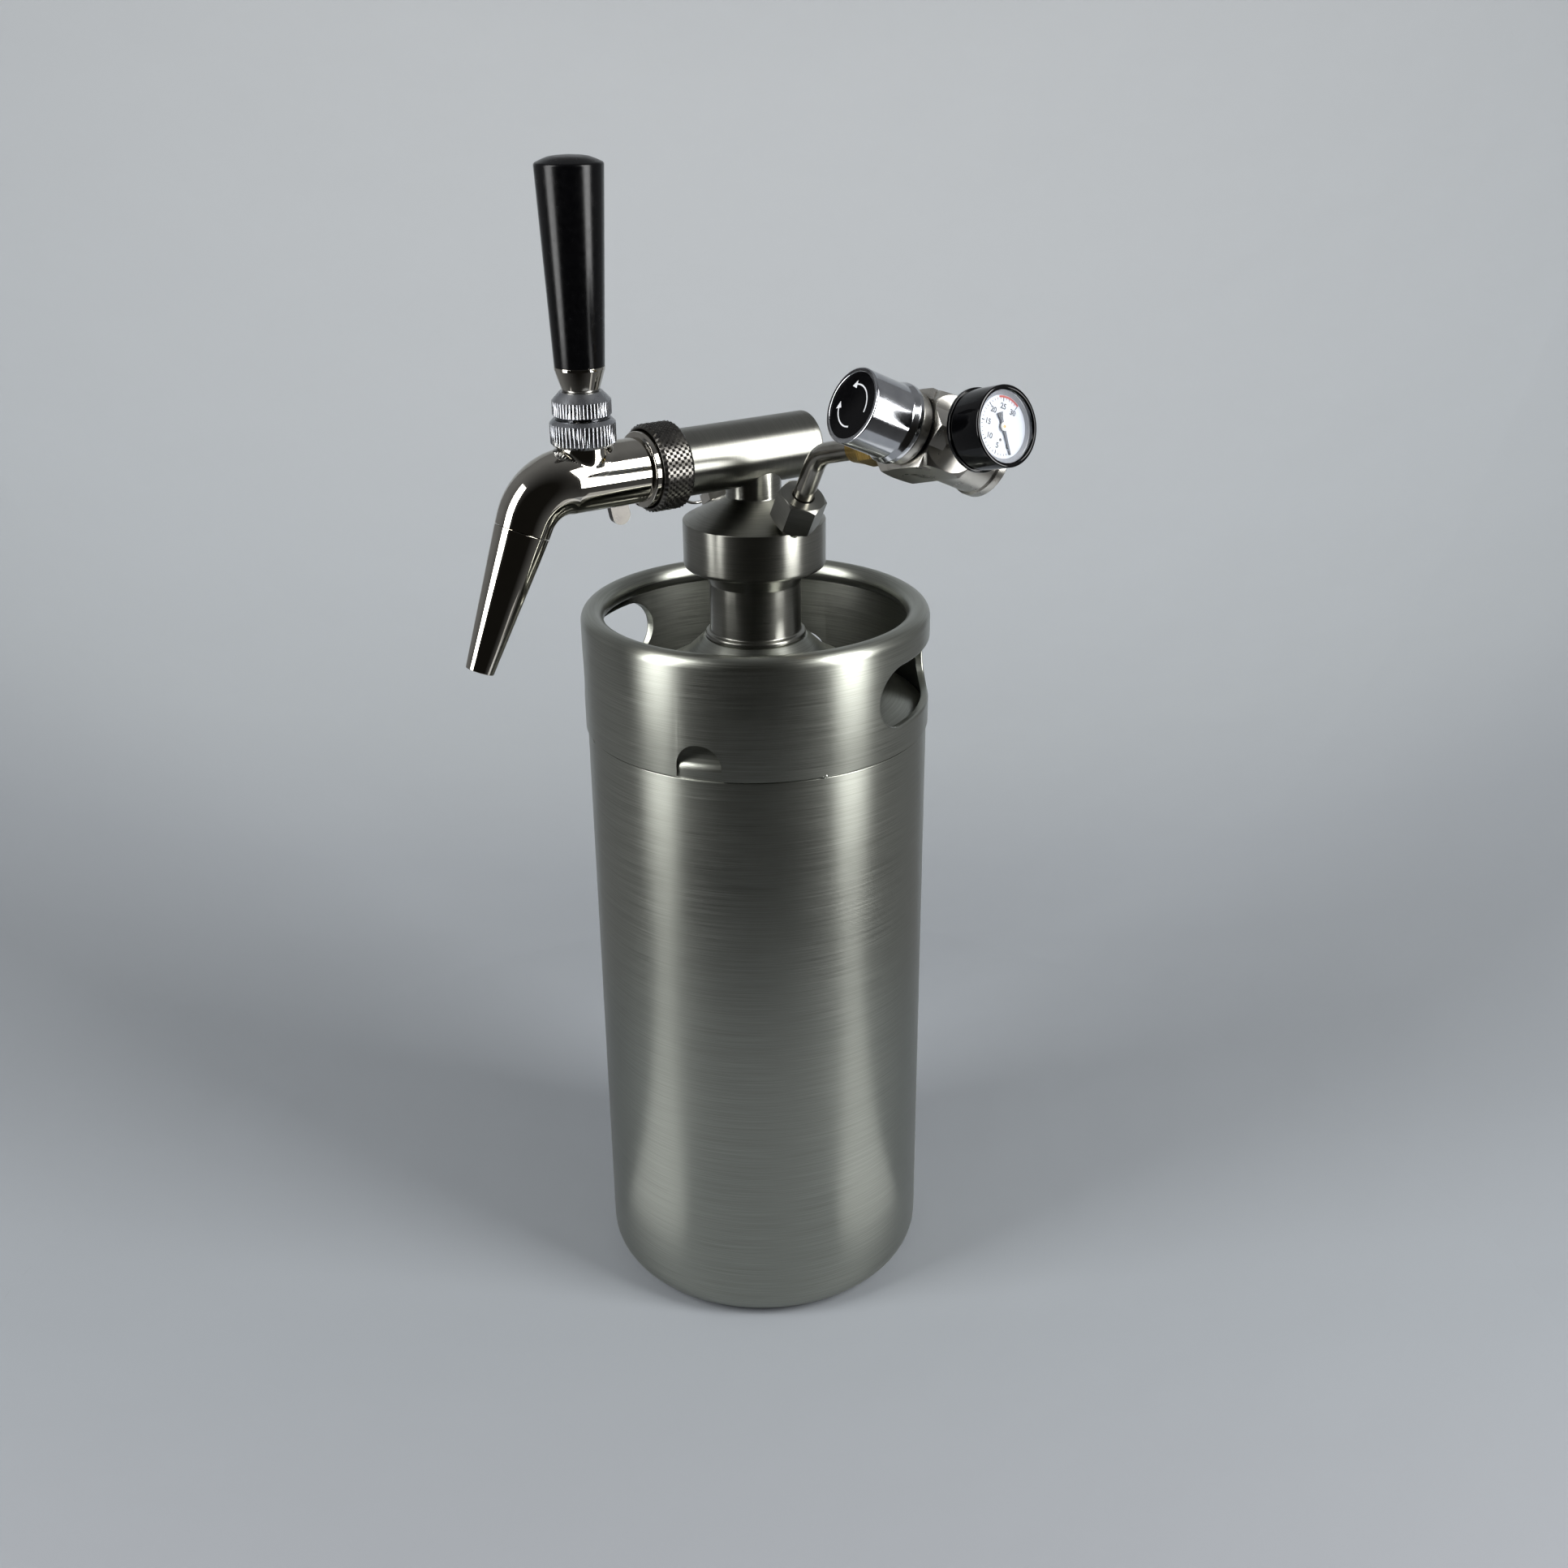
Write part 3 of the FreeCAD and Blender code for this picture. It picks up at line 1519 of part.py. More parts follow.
def regulator_body():
    """A hexagonal bar on the gas line, crossed by a round socket and a hexagonal flange."""
    bar_corner = "bar_flats / 2 / cos(30)"
    bar_turned = turned(
        "regulator_bar_blank",
        [
            ("0", "-bar_back"),
            ("bar_flats / 2 - bar_chamfer / 2", "-bar_back"),
            (bar_corner, "-bar_back + bar_chamfer"),
            (bar_corner, "bar_front - bar_chamfer"),
            ("bar_flats / 2 - bar_chamfer / 2", "bar_front"),
            ("0", "bar_front"),
        ],
        GAUGE,
    )
    bar = overlap(
        "regulator_bar",
        [bar_turned, hexagon("regulator_bar_six", "bar_flats", "-bar_back", "bar_front", GAUGE)],
    )
    flange_corner = "flange_flats / 2 / cos(30)"
    flange_turned = turned(
        "regulator_flange_blank",
        [
            ("0", "flange_bottom"),
            ("flange_flats / 2", "flange_bottom"),
            (flange_corner, "flange_bottom + flange_chamfer"),
            (flange_corner, "flange_top - flange_chamfer"),
            ("flange_flats / 2", "flange_top"),
            ("0", "flange_top"),
        ],
        REGULATOR,
    )
    flange = overlap(
        "regulator_flange",
        [
            flange_turned,
            hexagon("regulator_flange_six", "flange_flats", "flange_bottom", "flange_top", REGULATOR),
        ],
    )
    socket = turned(
        "regulator_socket",
        [
            ("0", "-socket_depth"),
            ("socket_rim_radius - socket_chamfer", "-socket_depth"),
            ("socket_rim_radius", "-socket_depth + socket_chamfer"),
            ("socket_rim_radius", "-socket_depth + socket_rim"),
            ("socket_radius", "-socket_depth + socket_rim + socket_chamfer"),
            ("socket_radius", "flange_bottom"),
            ("0", "flange_bottom"),
        ],
        REGULATOR,
    )
    bores = turned(
        "regulator_bores",
        [
            ("0", "-socket_depth"),
            ("socket_bore + socket_chamfer", "-socket_depth"),
            ("socket_bore", "-socket_depth + socket_chamfer"),
            ("socket_bore", "-socket_thread_end"),
            ("socket_seat", "-socket_thread_end"),
            ("socket_seat", "-socket_floor"),
            ("valve_chamber", "-socket_floor"),
            ("valve_chamber", "-valve_seat"),
            ("valve_bore", "-valve_seat"),
            ("valve_bore", "flange_top - chamber_depth"),
            ("chamber_radius", "flange_top - chamber_depth"),
            ("chamber_radius", "flange_top"),
            ("0", "flange_top"),
        ],
        REGULATOR,
    )
    tools = [
        bores,
        rod("bonnet_deck", "bar_flats", "flange_top", "bar_flats", REGULATOR),
        rod("gauge_notch", "stem_radius + fit_clearance", "bar_front", "gauge_back_start", GAUGE),
        rod("stub_notch", "outlet_stub_radius + fit_clearance", "bar_back", "outlet_nut_back", OUTLET),
        rod("outlet_port", "outlet_stub_radius", "bar_back - outlet_stub_depth", "bar_back", OUTLET),
        rod("outlet_passage", "passage_radius", "passage_place", "bar_back", OUTLET),
        rod("gauge_port", "gauge_port_radius", "bar_front - gauge_port_depth", "bar_front", GAUGE),
        rod("gauge_passage", "passage_radius", "passage_place", "bar_front", GAUGE),
    ]
    for name, side in (("gauge", 1), ("outlet", -1)):
        lane = REGULATOR * Placement(Vector(side * size("passage_place"), 0, 0), Rotation())
        tools.append(rod(f"{name}_riser", "passage_radius", "0", "flange_top", lane))
    return cut("regulator_body", join("regulator_blank", [bar, flange, socket]), tools)


def diaphragm():
    return rod("diaphragm", "diaphragm_radius", "flange_top", "flange_top + diaphragm_thickness", REGULATOR)


BONNET_START = "flange_top + diaphragm_thickness"


def regulator_bonnet():
    inner = "bonnet_tube_radius - bonnet_tube_wall"
    return turned(
        "regulator_bonnet",
        [
            (inner, BONNET_START),
            ("bonnet_flange_radius", BONNET_START, "hex_chamfer / 3"),
            ("bonnet_flange_radius", f"{BONNET_START} + bonnet_flange", "hex_chamfer / 3"),
            ("bonnet_tube_radius", f"{BONNET_START} + bonnet_flange"),
            ("bonnet_tube_radius", "bonnet_tube_top"),
            ("screw_radius + fit_clearance", "bonnet_tube_top"),
            ("screw_radius + fit_clearance", "bonnet_tube_top - bonnet_lid"),
            (inner, "bonnet_tube_top - bonnet_lid"),
        ],
        REGULATOR,
    )


def adjusting_screw():
    collar_top = "bonnet_tube_top - bonnet_lid - valve_clearance"
    return turned(
        "adjusting_screw",
        [
            ("0", "screw_bottom"),
            ("screw_radius", "screw_bottom"),
            ("screw_radius", f"{collar_top} - screw_collar"),
            ("screw_collar_radius", f"{collar_top} - screw_collar"),
            ("screw_collar_radius", collar_top),
            ("screw_radius", collar_top),
            ("screw_radius", "knob_top - knob_recess"),
            ("0", "knob_top - knob_recess"),
        ],
        REGULATOR,
    )


def spring_button():
    return turned(
        "spring_button",
        [
            ("screw_radius + fit_clearance", "button_top - button_thickness"),
            ("button_radius", "button_top - button_thickness"),
            ("button_radius", "button_top", "hex_chamfer / 2"),
            ("screw_radius + fit_clearance", "button_top"),
        ],
        REGULATOR,
    )


def regulator_spring():
    return coil(
        "regulator_spring",
        "spring_radius",
        "spring_wire",
        "spring_pitch",
        "spring_turns",
        f"{BONNET_START} + spring_wire",
        REGULATOR,
    )


def valve_poppet():
    top = "-valve_seat - fit_clearance"
    return turned(
        "valve_poppet",
        [
            ("0", f"{top} - poppet_height"),
            ("poppet_radius", f"{top} - poppet_height"),
            ("poppet_radius", top),
            ("poppet_stem", top),
            ("poppet_stem", "flange_top"),
            ("0", "flange_top"),
        ],
        REGULATOR,
    )


def poppet_spring():
    return coil(
        "poppet_spring",
        "poppet_radius - spring_wire",
        "spring_wire / 2",
        "spring_pitch / 1.3",
        "spring_turns",
        "-socket_floor + spring_wire / 2",
        REGULATOR,
    )


def piercing_pin():
    base = "-socket_floor - pin_base"
    return turned(
        "piercing_pin",
        [
            ("0", "-socket_floor"),
            ("socket_seat", "-socket_floor"),
            ("socket_seat", base),
            ("pin_radius", base),
            ("pin_radius", f"{base} - pin_length / 2"),
            ("0", f"{base} - pin_length"),
        ],
        REGULATOR,
    )


def socket_seal():
    base = "-socket_floor - pin_base"
    return turned(
        "socket_seal",
        [
            ("socket_seal_bore", base),
            ("socket_seat", base),
            ("socket_seat", f"{base} - socket_seal_height"),
            ("socket_seal_bore", f"{base} - socket_seal_height"),
        ],
        REGULATOR,
    )


def regulator_knob():
    web = "knob_top - knob_recess - knob_web"
    return turned(
        "regulator_knob",
        [
            ("knob_bore", "knob_bottom"),
            ("knob_skirt_radius", "knob_bottom", "knob_edge / 2"),
            ("knob_skirt_radius", "knob_bottom + knob_skirt"),
            ("knob_radius", "knob_bottom + knob_flare"),
            ("knob_radius", "knob_top", "knob_edge"),
            ("knob_face_radius", "knob_top"),
            ("knob_face_radius", "knob_top - knob_recess"),
            ("screw_radius", "knob_top - knob_recess"),
            ("screw_radius", web),
            ("knob_bore", web),
        ],
        REGULATOR,
    )


def knob_face():
    low = "knob_top - knob_recess"
    return rod("knob_face", "knob_face_radius", low, f"{low} + knob_face_thickness", REGULATOR)


# Gauge


def gauge_stem():
    stem = turned(
        "gauge_stem_blank",
        [
            ("stem_bore", "bar_front - gauge_port_depth"),
            ("gauge_port_radius", "bar_front - gauge_port_depth"),
            ("gauge_port_radius", "bar_front"),
            ("stem_radius", "bar_front"),
            ("stem_radius", "gauge_back_start"),
            ("gauge_port_radius", "gauge_back_start"),
            ("gauge_port_radius", "gauge_back_start + gauge_back_thickness"),
            ("stem_bore", "gauge_back_start + gauge_back_thickness"),
        ],
        GAUGE,
    )
    low = "gauge_back_start + gauge_back_thickness"
    tall = f"bourdon_height - bourdon_tube_radius - ({low})"
    block = cuboid(
        "gauge_stem_block",
        ("-bourdon_radius", "-stem_radius / 2", low),
        ("bourdon_radius * 2 - bourdon_tube_radius * 4", "stem_radius", tall),
        GAUGE,
    )
    return join("gauge_stem", [stem, block])


def gauge_back():
    return turned(
        "gauge_back",
        [
            ("gauge_port_radius", "gauge_back_start"),
            ("gauge_back_radius", "gauge_back_start", "gauge_lip / 2"),
            ("gauge_back_radius", "gauge_back_start + gauge_back_thickness", "gauge_lip / 2"),
            ("gauge_port_radius", "gauge_back_start + gauge_back_thickness"),
        ],
        GAUGE,
    )


def gauge_case():
    low = "gauge_back_start + gauge_back_thickness"
    inner = "gauge_radius - gauge_wall"
    return turned(
        "gauge_case",
        [
            (inner, low),
            ("gauge_radius", low),
            ("gauge_radius", "gauge_front", "gauge_lip"),
            ("gauge_window", "gauge_front"),
            ("gauge_window", "gauge_front - gauge_lip"),
            (inner, "gauge_front - gauge_lip"),
        ],
        GAUGE,
    )


def gauge_lens():
    top = "gauge_front - gauge_lip"
    return rod("gauge_lens", "gauge_radius - gauge_wall", f"{top} - lens_thickness", top, GAUGE)


def gauge_dial():
    return turned(
        "gauge_dial",
        [
            ("dial_hole", "dial_height"),
            ("gauge_radius - gauge_wall", "dial_height"),
            ("gauge_radius - gauge_wall", "dial_height + dial_thickness"),
            ("dial_hole", "dial_height + dial_thickness"),
        ],
        GAUGE,
    )


def dial_screw():
    low = "dial_height + dial_thickness"
    place = GAUGE * Placement(Vector(0, -size("dial_screw_place"), 0), Rotation())
    return rod("dial_screw", "dial_screw_radius", low, f"{low} + needle_gap / 3", place)


def gauge_needle():
    """A pointer that tapers to its tip, with an arrow tail, a hub and its arbor."""
    body = doc.addObject("PartDesign::Body", "gauge_pointer")
    low = "dial_height + dial_thickness + needle_gap"
    outline = body_sketch(
        body,
        "XY_Plane",
        "gauge_pointer_outline",
        [
            ("needle_width / 2", "0"),
            ("needle_width / 6", "needle_length"),
            ("-needle_width / 6", "needle_length"),
            ("-needle_width / 2", "0"),
            ("-needle_width / 2", "-needle_tail / 2"),
            ("-needle_width", "-needle_tail"),
            ("needle_width", "-needle_tail"),
            ("needle_width / 2", "-needle_tail / 2"),
        ],
    )
    blade = body.newObject("PartDesign::Pad", "gauge_pointer_blade")
    blade.Profile = outline
    blade.setExpression("Length", bound("needle_thickness"))
    body.Placement = GAUGE * Placement(
        Vector(0, 0, size(low)), Rotation(Z_AXIS, -size("needle_zero"))
    )
    hub = rod("gauge_hub", "needle_hub", f"{low} - needle_gap / 2", f"{low} + needle_thickness * 2", GAUGE)
    arbor = rod("gauge_arbor", "arbor_radius", "bourdon_height", low, GAUGE)
    return join("gauge_needle", [body, hub, arbor])


def bourdon_tube():
    ring = doc.addObject("Part::Torus", "bourdon_tube")
    ring.setExpression("Radius1", bound("bourdon_radius"))
    ring.setExpression("Radius2", bound("bourdon_tube_radius"))
    ring.Angle3 = 270
    ring.Placement = GAUGE * Placement(Vector(0, 0, size("bourdon_height")), Rotation(Z_AXIS, 180))
    return ring


def gauge_movement():
    """Two small plates on posts, which carry the needle's arbor and the dial."""
    half = "movement_half_width"
    plate = cuboid(
        "movement_plate_top",
        (f"-{half}", f"-{half}", "movement_top - movement_plate"),
        (f"{half} * 2", f"{half} * 2", "movement_plate"),
        GAUGE,
    )
    posts = []
    low = "bourdon_height - bourdon_tube_radius"
    for number, (across, along) in enumerate(((1, 1), (-1, -1))):
        spot = Vector(
            across * size("movement_half_width - arbor_radius * 2"),
            along * size("stem_radius / 2 - arbor_radius"),
            0,
        )
        place = GAUGE * Placement(spot, Rotation())
        posts.append(rod(f"movement_post_{number}", "arbor_radius", low, "dial_height", place))
    hole = rod("movement_hole", "arbor_radius + valve_clearance", low, "dial_height", GAUGE)
    return cut("gauge_movement", join("movement_blank", [plate] + posts), [hole])


BUILDERS = [
    keg_shell, keg_collar, keg_neck,
    cap_body, cap_seal, dip_tube, dip_tube_seal, shank_tube, shank_plug,
    coupling_nut, faucet_gasket, faucet_body, faucet_spout, spout_seal,
    handle_bonnet, ball_seat, ball_washer,
    lever_shaft, jam_nut, handle_ferrule, grip_insert, handle_grip,
    shuttle, shuttle_seal, flow_lever, flow_shaft, flow_compensator,
    prv_body, prv_disc, prv_pin, prv_spring, prv_ring,
    gas_inlet, check_valve, gas_nut, tube_collar, gas_tube, outlet_nut, outlet_stub,
    regulator_body, diaphragm, regulator_bonnet, adjusting_screw, spring_button,
    regulator_spring, valve_poppet, poppet_spring, piercing_pin, socket_seal,
    regulator_knob, knob_face,
    gauge_stem, gauge_back, gauge_case, gauge_lens, gauge_dial, dial_screw,
    gauge_needle, bourdon_tube, gauge_movement,
]

for build in BUILDERS:
    part(build(), build.__name__)
doc.recompute()

for thing in doc.Objects:
    if "Invalid" in thing.State or "Error" in thing.State:
        raise ValueError(f"{thing.Label} failed: {thing.State}")
for label, piece in finished.items():
    if piece.Shape.isNull() or not piece.Shape.isValid() or not piece.Shape.Solids:
        raise ValueError(f"{label} is not a valid solid")

os.makedirs("parts", exist_ok=True)
for label, piece in finished.items():
    piece.Shape.exportStep(f"parts/{label}.step")
    print(label, len(piece.Shape.Solids), round(piece.Shape.Volume, 2))
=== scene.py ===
import json
import math

import bmesh
import bpy
from mathutils import Matrix, Vector


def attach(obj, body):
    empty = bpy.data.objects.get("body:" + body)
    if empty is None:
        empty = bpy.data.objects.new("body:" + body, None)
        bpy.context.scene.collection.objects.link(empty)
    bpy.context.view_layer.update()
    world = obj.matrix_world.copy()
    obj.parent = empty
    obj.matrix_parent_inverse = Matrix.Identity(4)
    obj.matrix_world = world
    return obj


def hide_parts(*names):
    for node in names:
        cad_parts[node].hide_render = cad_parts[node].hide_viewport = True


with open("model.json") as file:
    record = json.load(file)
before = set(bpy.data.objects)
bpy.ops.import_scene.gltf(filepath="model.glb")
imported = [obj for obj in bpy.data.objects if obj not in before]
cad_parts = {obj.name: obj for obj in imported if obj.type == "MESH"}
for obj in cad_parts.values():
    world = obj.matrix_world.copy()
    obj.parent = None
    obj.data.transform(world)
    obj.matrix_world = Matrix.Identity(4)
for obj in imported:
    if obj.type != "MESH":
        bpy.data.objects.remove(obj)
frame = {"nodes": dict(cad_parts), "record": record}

# Mini keg beer dispenser. Lengths are millimetres here and become metres as a mesh is made.

MM = 0.001
RECORD = frame["record"]
BODY_OF = {node: body for body, nodes in RECORD["behaviour"]["bodies"].items() for node in nodes}
SLOT_OF = {entry["node"]: entry["material_slot"] for entry in RECORD["subparts"]}
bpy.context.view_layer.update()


# Places, each with its own Z axis along the piece

def shift(x, y, z):
    return Matrix.Translation(Vector((x, y, z)) * MM)


def turn(degrees, axis):
    return Matrix.Rotation(math.radians(degrees), 4, axis)


TAP_HEIGHT = 367.75
HANDLE_REACH = 74.2
PORT_RADIUS = 25.5
PORT_HEIGHT = 342.0
PORT_TILT = 30.0
BEND_CORNER = 94.7
BEND_ANGLE = 67.0
BEND_RADIUS = 19.0
JOINT_RUN = 16.9
TUBE_TWIST = 6.0
TUBE_BEND = 45.0
TUBE_BEND_RADIUS = 14.0
TUBE_CORNER = 37.9
TUBE_RUN = 61.1
REGULATOR_ROLL = 61.2

HERE = Matrix.Identity(4)
TAP = shift(0, 0, TAP_HEIGHT) @ turn(90, "X")
HANDLE = shift(0, -HANDLE_REACH, TAP_HEIGHT)
GAS = shift(PORT_RADIUS, 0, PORT_HEIGHT) @ turn(PORT_TILT, "Y")
TUBE = shift(PORT_RADIUS, 0, PORT_HEIGHT) @ turn(PORT_TILT - 90, "Y") @ turn(TUBE_TWIST, "X")
REGULATOR = (
    TUBE @ shift(TUBE_CORNER, 0, 0) @ turn(TUBE_BEND, "Y")
    @ shift(TUBE_RUN, 0, 0) @ turn(REGULATOR_ROLL, "X")
)
GAUGE = REGULATOR @ turn(90, "Y")
OUTLET = REGULATOR @ turn(-90, "Y")
SPOUT = TAP @ shift(0, 0, BEND_CORNER) @ turn(BEND_ANGLE, "X") @ shift(0, 0, JOINT_RUN)


# Materials

def linear(hex_colour):
    """An sRGB hex colour as a linear one."""
    parts = [int(hex_colour[i:i + 2], 16) / 255 for i in (1, 3, 5)]
    return [c / 12.92 if c <= 0.04045 else ((c + 0.055) / 1.055) ** 2.4 for c in parts] + [1.0]


def add(tree, kind, links=None, **settings):
    """One node with its settings; links gives its inputs a value or another node's output."""
    made = tree.nodes.new(kind)
    for name, value in settings.items():
        setattr(made, name, value)
    for name, value in (links or {}).items():
        if isinstance(value, bpy.types.NodeSocket):
            tree.links.new(value, made.inputs[name])
        else:
            made.inputs[name].default_value = value
    return made


def begin(name, values=None):
    """A new material's tree and its shader."""
    material = bpy.data.materials.new(name)
    material.use_nodes = True
    tree = material.node_tree
    tree.nodes.clear()
    shader = add(tree, "ShaderNodeBsdfPrincipled", values)
    add(tree, "ShaderNodeOutputMaterial", {"Surface": shader.outputs[0]})
    return material, tree, shader


def grain(tree, along_mm, across_mm):
    """Noise drawn out round the piece's own Z axis: long in X and Y, fine along Z."""
    spot = add(tree, "ShaderNodeTexCoord")
    scale = (1 / (along_mm * MM), 1 / (along_mm * MM), 1 / (across_mm * MM))
    stretch = add(tree, "ShaderNodeMapping", {"Vector": spot.outputs["Object"], "Scale": scale})
    return add(tree, "ShaderNodeTexNoise", {"Vector": stretch.outputs[0], "Scale": 1.0, "Detail": 2.0})


def cloud(tree, size_mm, detail=3.0):
    """Even noise of one size."""
    spot = add(tree, "ShaderNodeTexCoord")
    return add(
        tree, "ShaderNodeTexNoise",
        {"Vector": spot.outputs["Object"], "Scale": 1 / (size_mm * MM), "Detail": detail},
    )


NOISE_LOW = 0.3
NOISE_HIGH = 0.7


def ranged(tree, value, low, high):
    """A noise value spread over a range."""
    made = add(
        tree, "ShaderNodeMapRange",
        {"Value": value, "From Min": NOISE_LOW, "From Max": NOISE_HIGH, "To Min": low, "To Max": high},
    )
    return made.outputs["Result"]


def shaded(tree, value, dark, light):
    """Two colours mixed by a noise value."""
    made = add(tree, "ShaderNodeMix", data_type="RGBA")
    tree.links.new(ranged(tree, value, 0.0, 1.0), made.inputs["Factor"])
    made.inputs[6].default_value = linear(dark)
    made.inputs[7].default_value = linear(light)
    return made.outputs[2]


def brushed_metal(name, dark, light, rough, line_mm, length_mm, pull, bump=0.1):
    """Metal rubbed or turned round its axis: fine lines that draw highlights out across them."""
    values = {"Metallic": 1.0, "Anisotropic": pull, "Anisotropic Rotation": 0.25}
    material, tree, shader = begin(name, values)
    lines = grain(tree, length_mm, line_mm)
    smears = cloud(tree, 45.0)
    tree.links.new(shaded(tree, lines.outputs[0], dark, light), shader.inputs["Base Color"])
    spread = add(
        tree, "ShaderNodeMath",
        {0: ranged(tree, lines.outputs[0], rough * 0.9, rough * 1.1),
         1: ranged(tree, smears.outputs[0], -0.02, 0.02)},
        operation="ADD",
    )
    tree.links.new(spread.outputs[0], shader.inputs["Roughness"])
    raised = add(
        tree, "ShaderNodeBump",
        {"Height": lines.outputs[0], "Strength": bump, "Distance": 0.02 * MM},
    )
    tree.links.new(raised.outputs[0], shader.inputs["Normal"])
    way = add(tree, "ShaderNodeTangent", direction_type="RADIAL", axis="Z")
    tree.links.new(way.outputs[0], shader.inputs["Tangent"])
    return material


def polished_metal(name, colour, shade, rough, wave_mm, depth_mm):
    """Buffed or plated metal: near mirror, with the slow waves that a buffing wheel leaves."""
    material, tree, shader = begin(name, {"Metallic": 1.0})
    waves = cloud(tree, wave_mm, 1.0)
    haze = cloud(tree, 6.0)
    tree.links.new(shaded(tree, haze.outputs[0], shade, colour), shader.inputs["Base Color"])
    tree.links.new(ranged(tree, haze.outputs[0], rough * 0.85, rough * 1.15), shader.inputs["Roughness"])
    raised = add(
        tree, "ShaderNodeBump",
        {"Height": waves.outputs[0], "Strength": 1.0, "Distance": depth_mm * MM},
    )
    tree.links.new(raised.outputs[0], shader.inputs["Normal"])
    return material


def moulded(name, dark, light, rough, grain_mm, depth_mm, values=None):
    """Plastic, rubber or enamel with an even fine grain."""
    material, tree, shader = begin(name, values)
    speck = cloud(tree, grain_mm)
    tree.links.new(shaded(tree, speck.outputs[0], dark, light), shader.inputs["Base Color"])
    tree.links.new(ranged(tree, speck.outputs[0], rough * 0.85, rough * 1.15), shader.inputs["Roughness"])
    raised = add(
        tree, "ShaderNodeBump",
        {"Height": speck.outputs[0], "Strength": 0.5, "Distance": depth_mm * MM},
    )
    tree.links.new(raised.outputs[0], shader.inputs["Normal"])
    return material


# Deep-drawn stainless sheet, rubbed round and round with abrasive cloth: soft tall highlights
# with fine level lines in them. The lines are drawn coarser than the real ones, so that they show.
BRUSHED = brushed_metal("brushed_stainless_sheet", "#898B83", "#9D9F97", 0.34, 0.22, 30.0, 0.6, 0.14)
# The collar's inward faces get a darker, duller metal than the rubbed outside.
DARKER_COLLAR_INSIDE = brushed_metal("darker_collar_inside_sheet", "#5F605B", "#6E6F69", 0.42, 0.5, 24.0, 0.4, 0.1)
# Stainless bar turned on a lathe and rubbed down: the same lines, finer and brighter.
TURNED = brushed_metal("turned_stainless_bar", "#7C7C76", "#8E8E87", 0.32, 0.12, 16.0, 0.6, 0.03)
# Cast stainless buffed to a mirror.
POLISHED = polished_metal("buffed_cast_stainless", "#B9B5AC", "#B0ACA3", 0.05, 16.0, 0.02)
# Chrome plate on turned brass: a colder and sharper mirror.
CHROMED = polished_metal("chrome_plate", "#C4C6C9", "#B8BABE", 0.13, 20.0, 0.006)
# The same plate on the ribs of the two hand nuts, where the rolling tool left it dull.
RIB_CHROME = polished_metal("chrome_plate_on_ribs", "#A2A4A8", "#94969A", 0.28, 4.0, 0.004)
# Knurled stainless left bare: rolled diamonds with dark hollows.
KNURLED = polished_metal("knurled_stainless", "#6A6863", "#545250", 0.3, 3.0, 0.004)
# Satin nickel plate on machined brass.
NICKEL = polished_metal("satin_nickel_plate", "#C6C4BD", "#BEBBB4", 0.3, 8.0, 0.002)
# Bare brass, turned.
BRASS = brushed_metal("turned_brass", "#A88B4C", "#C4A664", 0.3, 0.3, 8.0, 0.5, 0.1)
# Drawn spring wire.
WIRE = polished_metal("drawn_stainless_wire", "#C4C2BC", "#B4B2AC", 0.12, 5.0, 0.004)
# Phenolic resin turned and buffed: black with a hard clear gloss.
PHENOLIC = moulded(
    "polished_phenolic", "#030304", "#050506", 0.24, 2.0, 0.0005, values={"IOR": 1.28},
)
# Stoved black enamel on the gauge's case.
ENAMEL = moulded("black_stoved_enamel", "#020203", "#040405", 0.09, 0.6, 0.0005, values={"IOR": 1.36})
# Printed vinyl disc in the knob: black, a little duller than the case.
VINYL = moulded("black_printed_vinyl", "#020203", "#040405", 0.14, 1.5, 0.001, values={"IOR": 1.26})
# White print ink on the disc.
INK_WHITE = moulded("white_print_ink", "#C9CACC", "#D5D6D8", 0.5, 0.4, 0.001)
# Dial sheet printed in white, with black and red ink on it.
DIAL_WHITE = moulded("white_dial_enamel", "#D9DFEA", "#E3E8F1", 0.5, 0.5, 0.001)
INK_BLACK = moulded("black_print_ink", "#1C1E22", "#26282C", 0.5, 0.4, 0.001)
INK_RED = moulded("red_print_ink", "#B23A30", "#C2463A", 0.5, 0.4, 0.001)
# Pale grey enamel inside the gauge's rim.
RING_GREY = moulded("pale_grey_enamel", "#8F9196", "#9A9CA1", 0.35, 0.6, 0.002)
# Blued steel pointer, dulled.
POINTER = moulded("dark_grey_enamel", "#3C3E44", "#46484E", 0.35, 0.5, 0.002)
# Satin stainless tube, drawn and wiped along its length.
SATIN = polished_metal("drawn_satin_tube", "#A9A69E", "#96938B", 0.2, 4.0, 0.01)
# Nitrile rubber and acetal inside the tap.
RUBBER = moulded("nitrile_rubber", "#0C0C0C", "#161616", 0.6, 0.5, 0.01)
ACETAL = moulded("white_acetal", "#C8C7C2", "#D6D5D0", 0.4, 0.6, 0.004)

FINISH_OF = {
    "brushed_stainless": BRUSHED,
    "turned_stainless": TURNED,
    "polished_stainless": POLISHED,
    "chrome": CHROMED,
    "nickel": NICKEL,
    "brass": BRASS,
    "spring_steel": WIRE,
    "black_phenolic": PHENOLIC,
    "black_enamel": ENAMEL,
    "black_face": VINYL,
    "dial_white": DIAL_WHITE,
    "seal_rubber": RUBBER,
    "bearing_plastic": ACETAL,
}


def clear_sheet():
    """Moulded clear polycarbonate: seen through, with a faint mirror that grows at the edge."""
    material, tree, shader = begin("clear_polycarbonate", {"Metallic": 1.0, "Roughness": 0.04})
    shader.inputs["Base Color"].default_value = linear("#F2F5F8")
    edge = add(tree, "ShaderNodeFresnel", {"IOR": 1.4})
    tree.links.new(edge.outputs["Fac"], shader.inputs["Alpha"])
    return material


LENS = clear_sheet()
FINISH_OF["lens"] = LENS


# Meshes

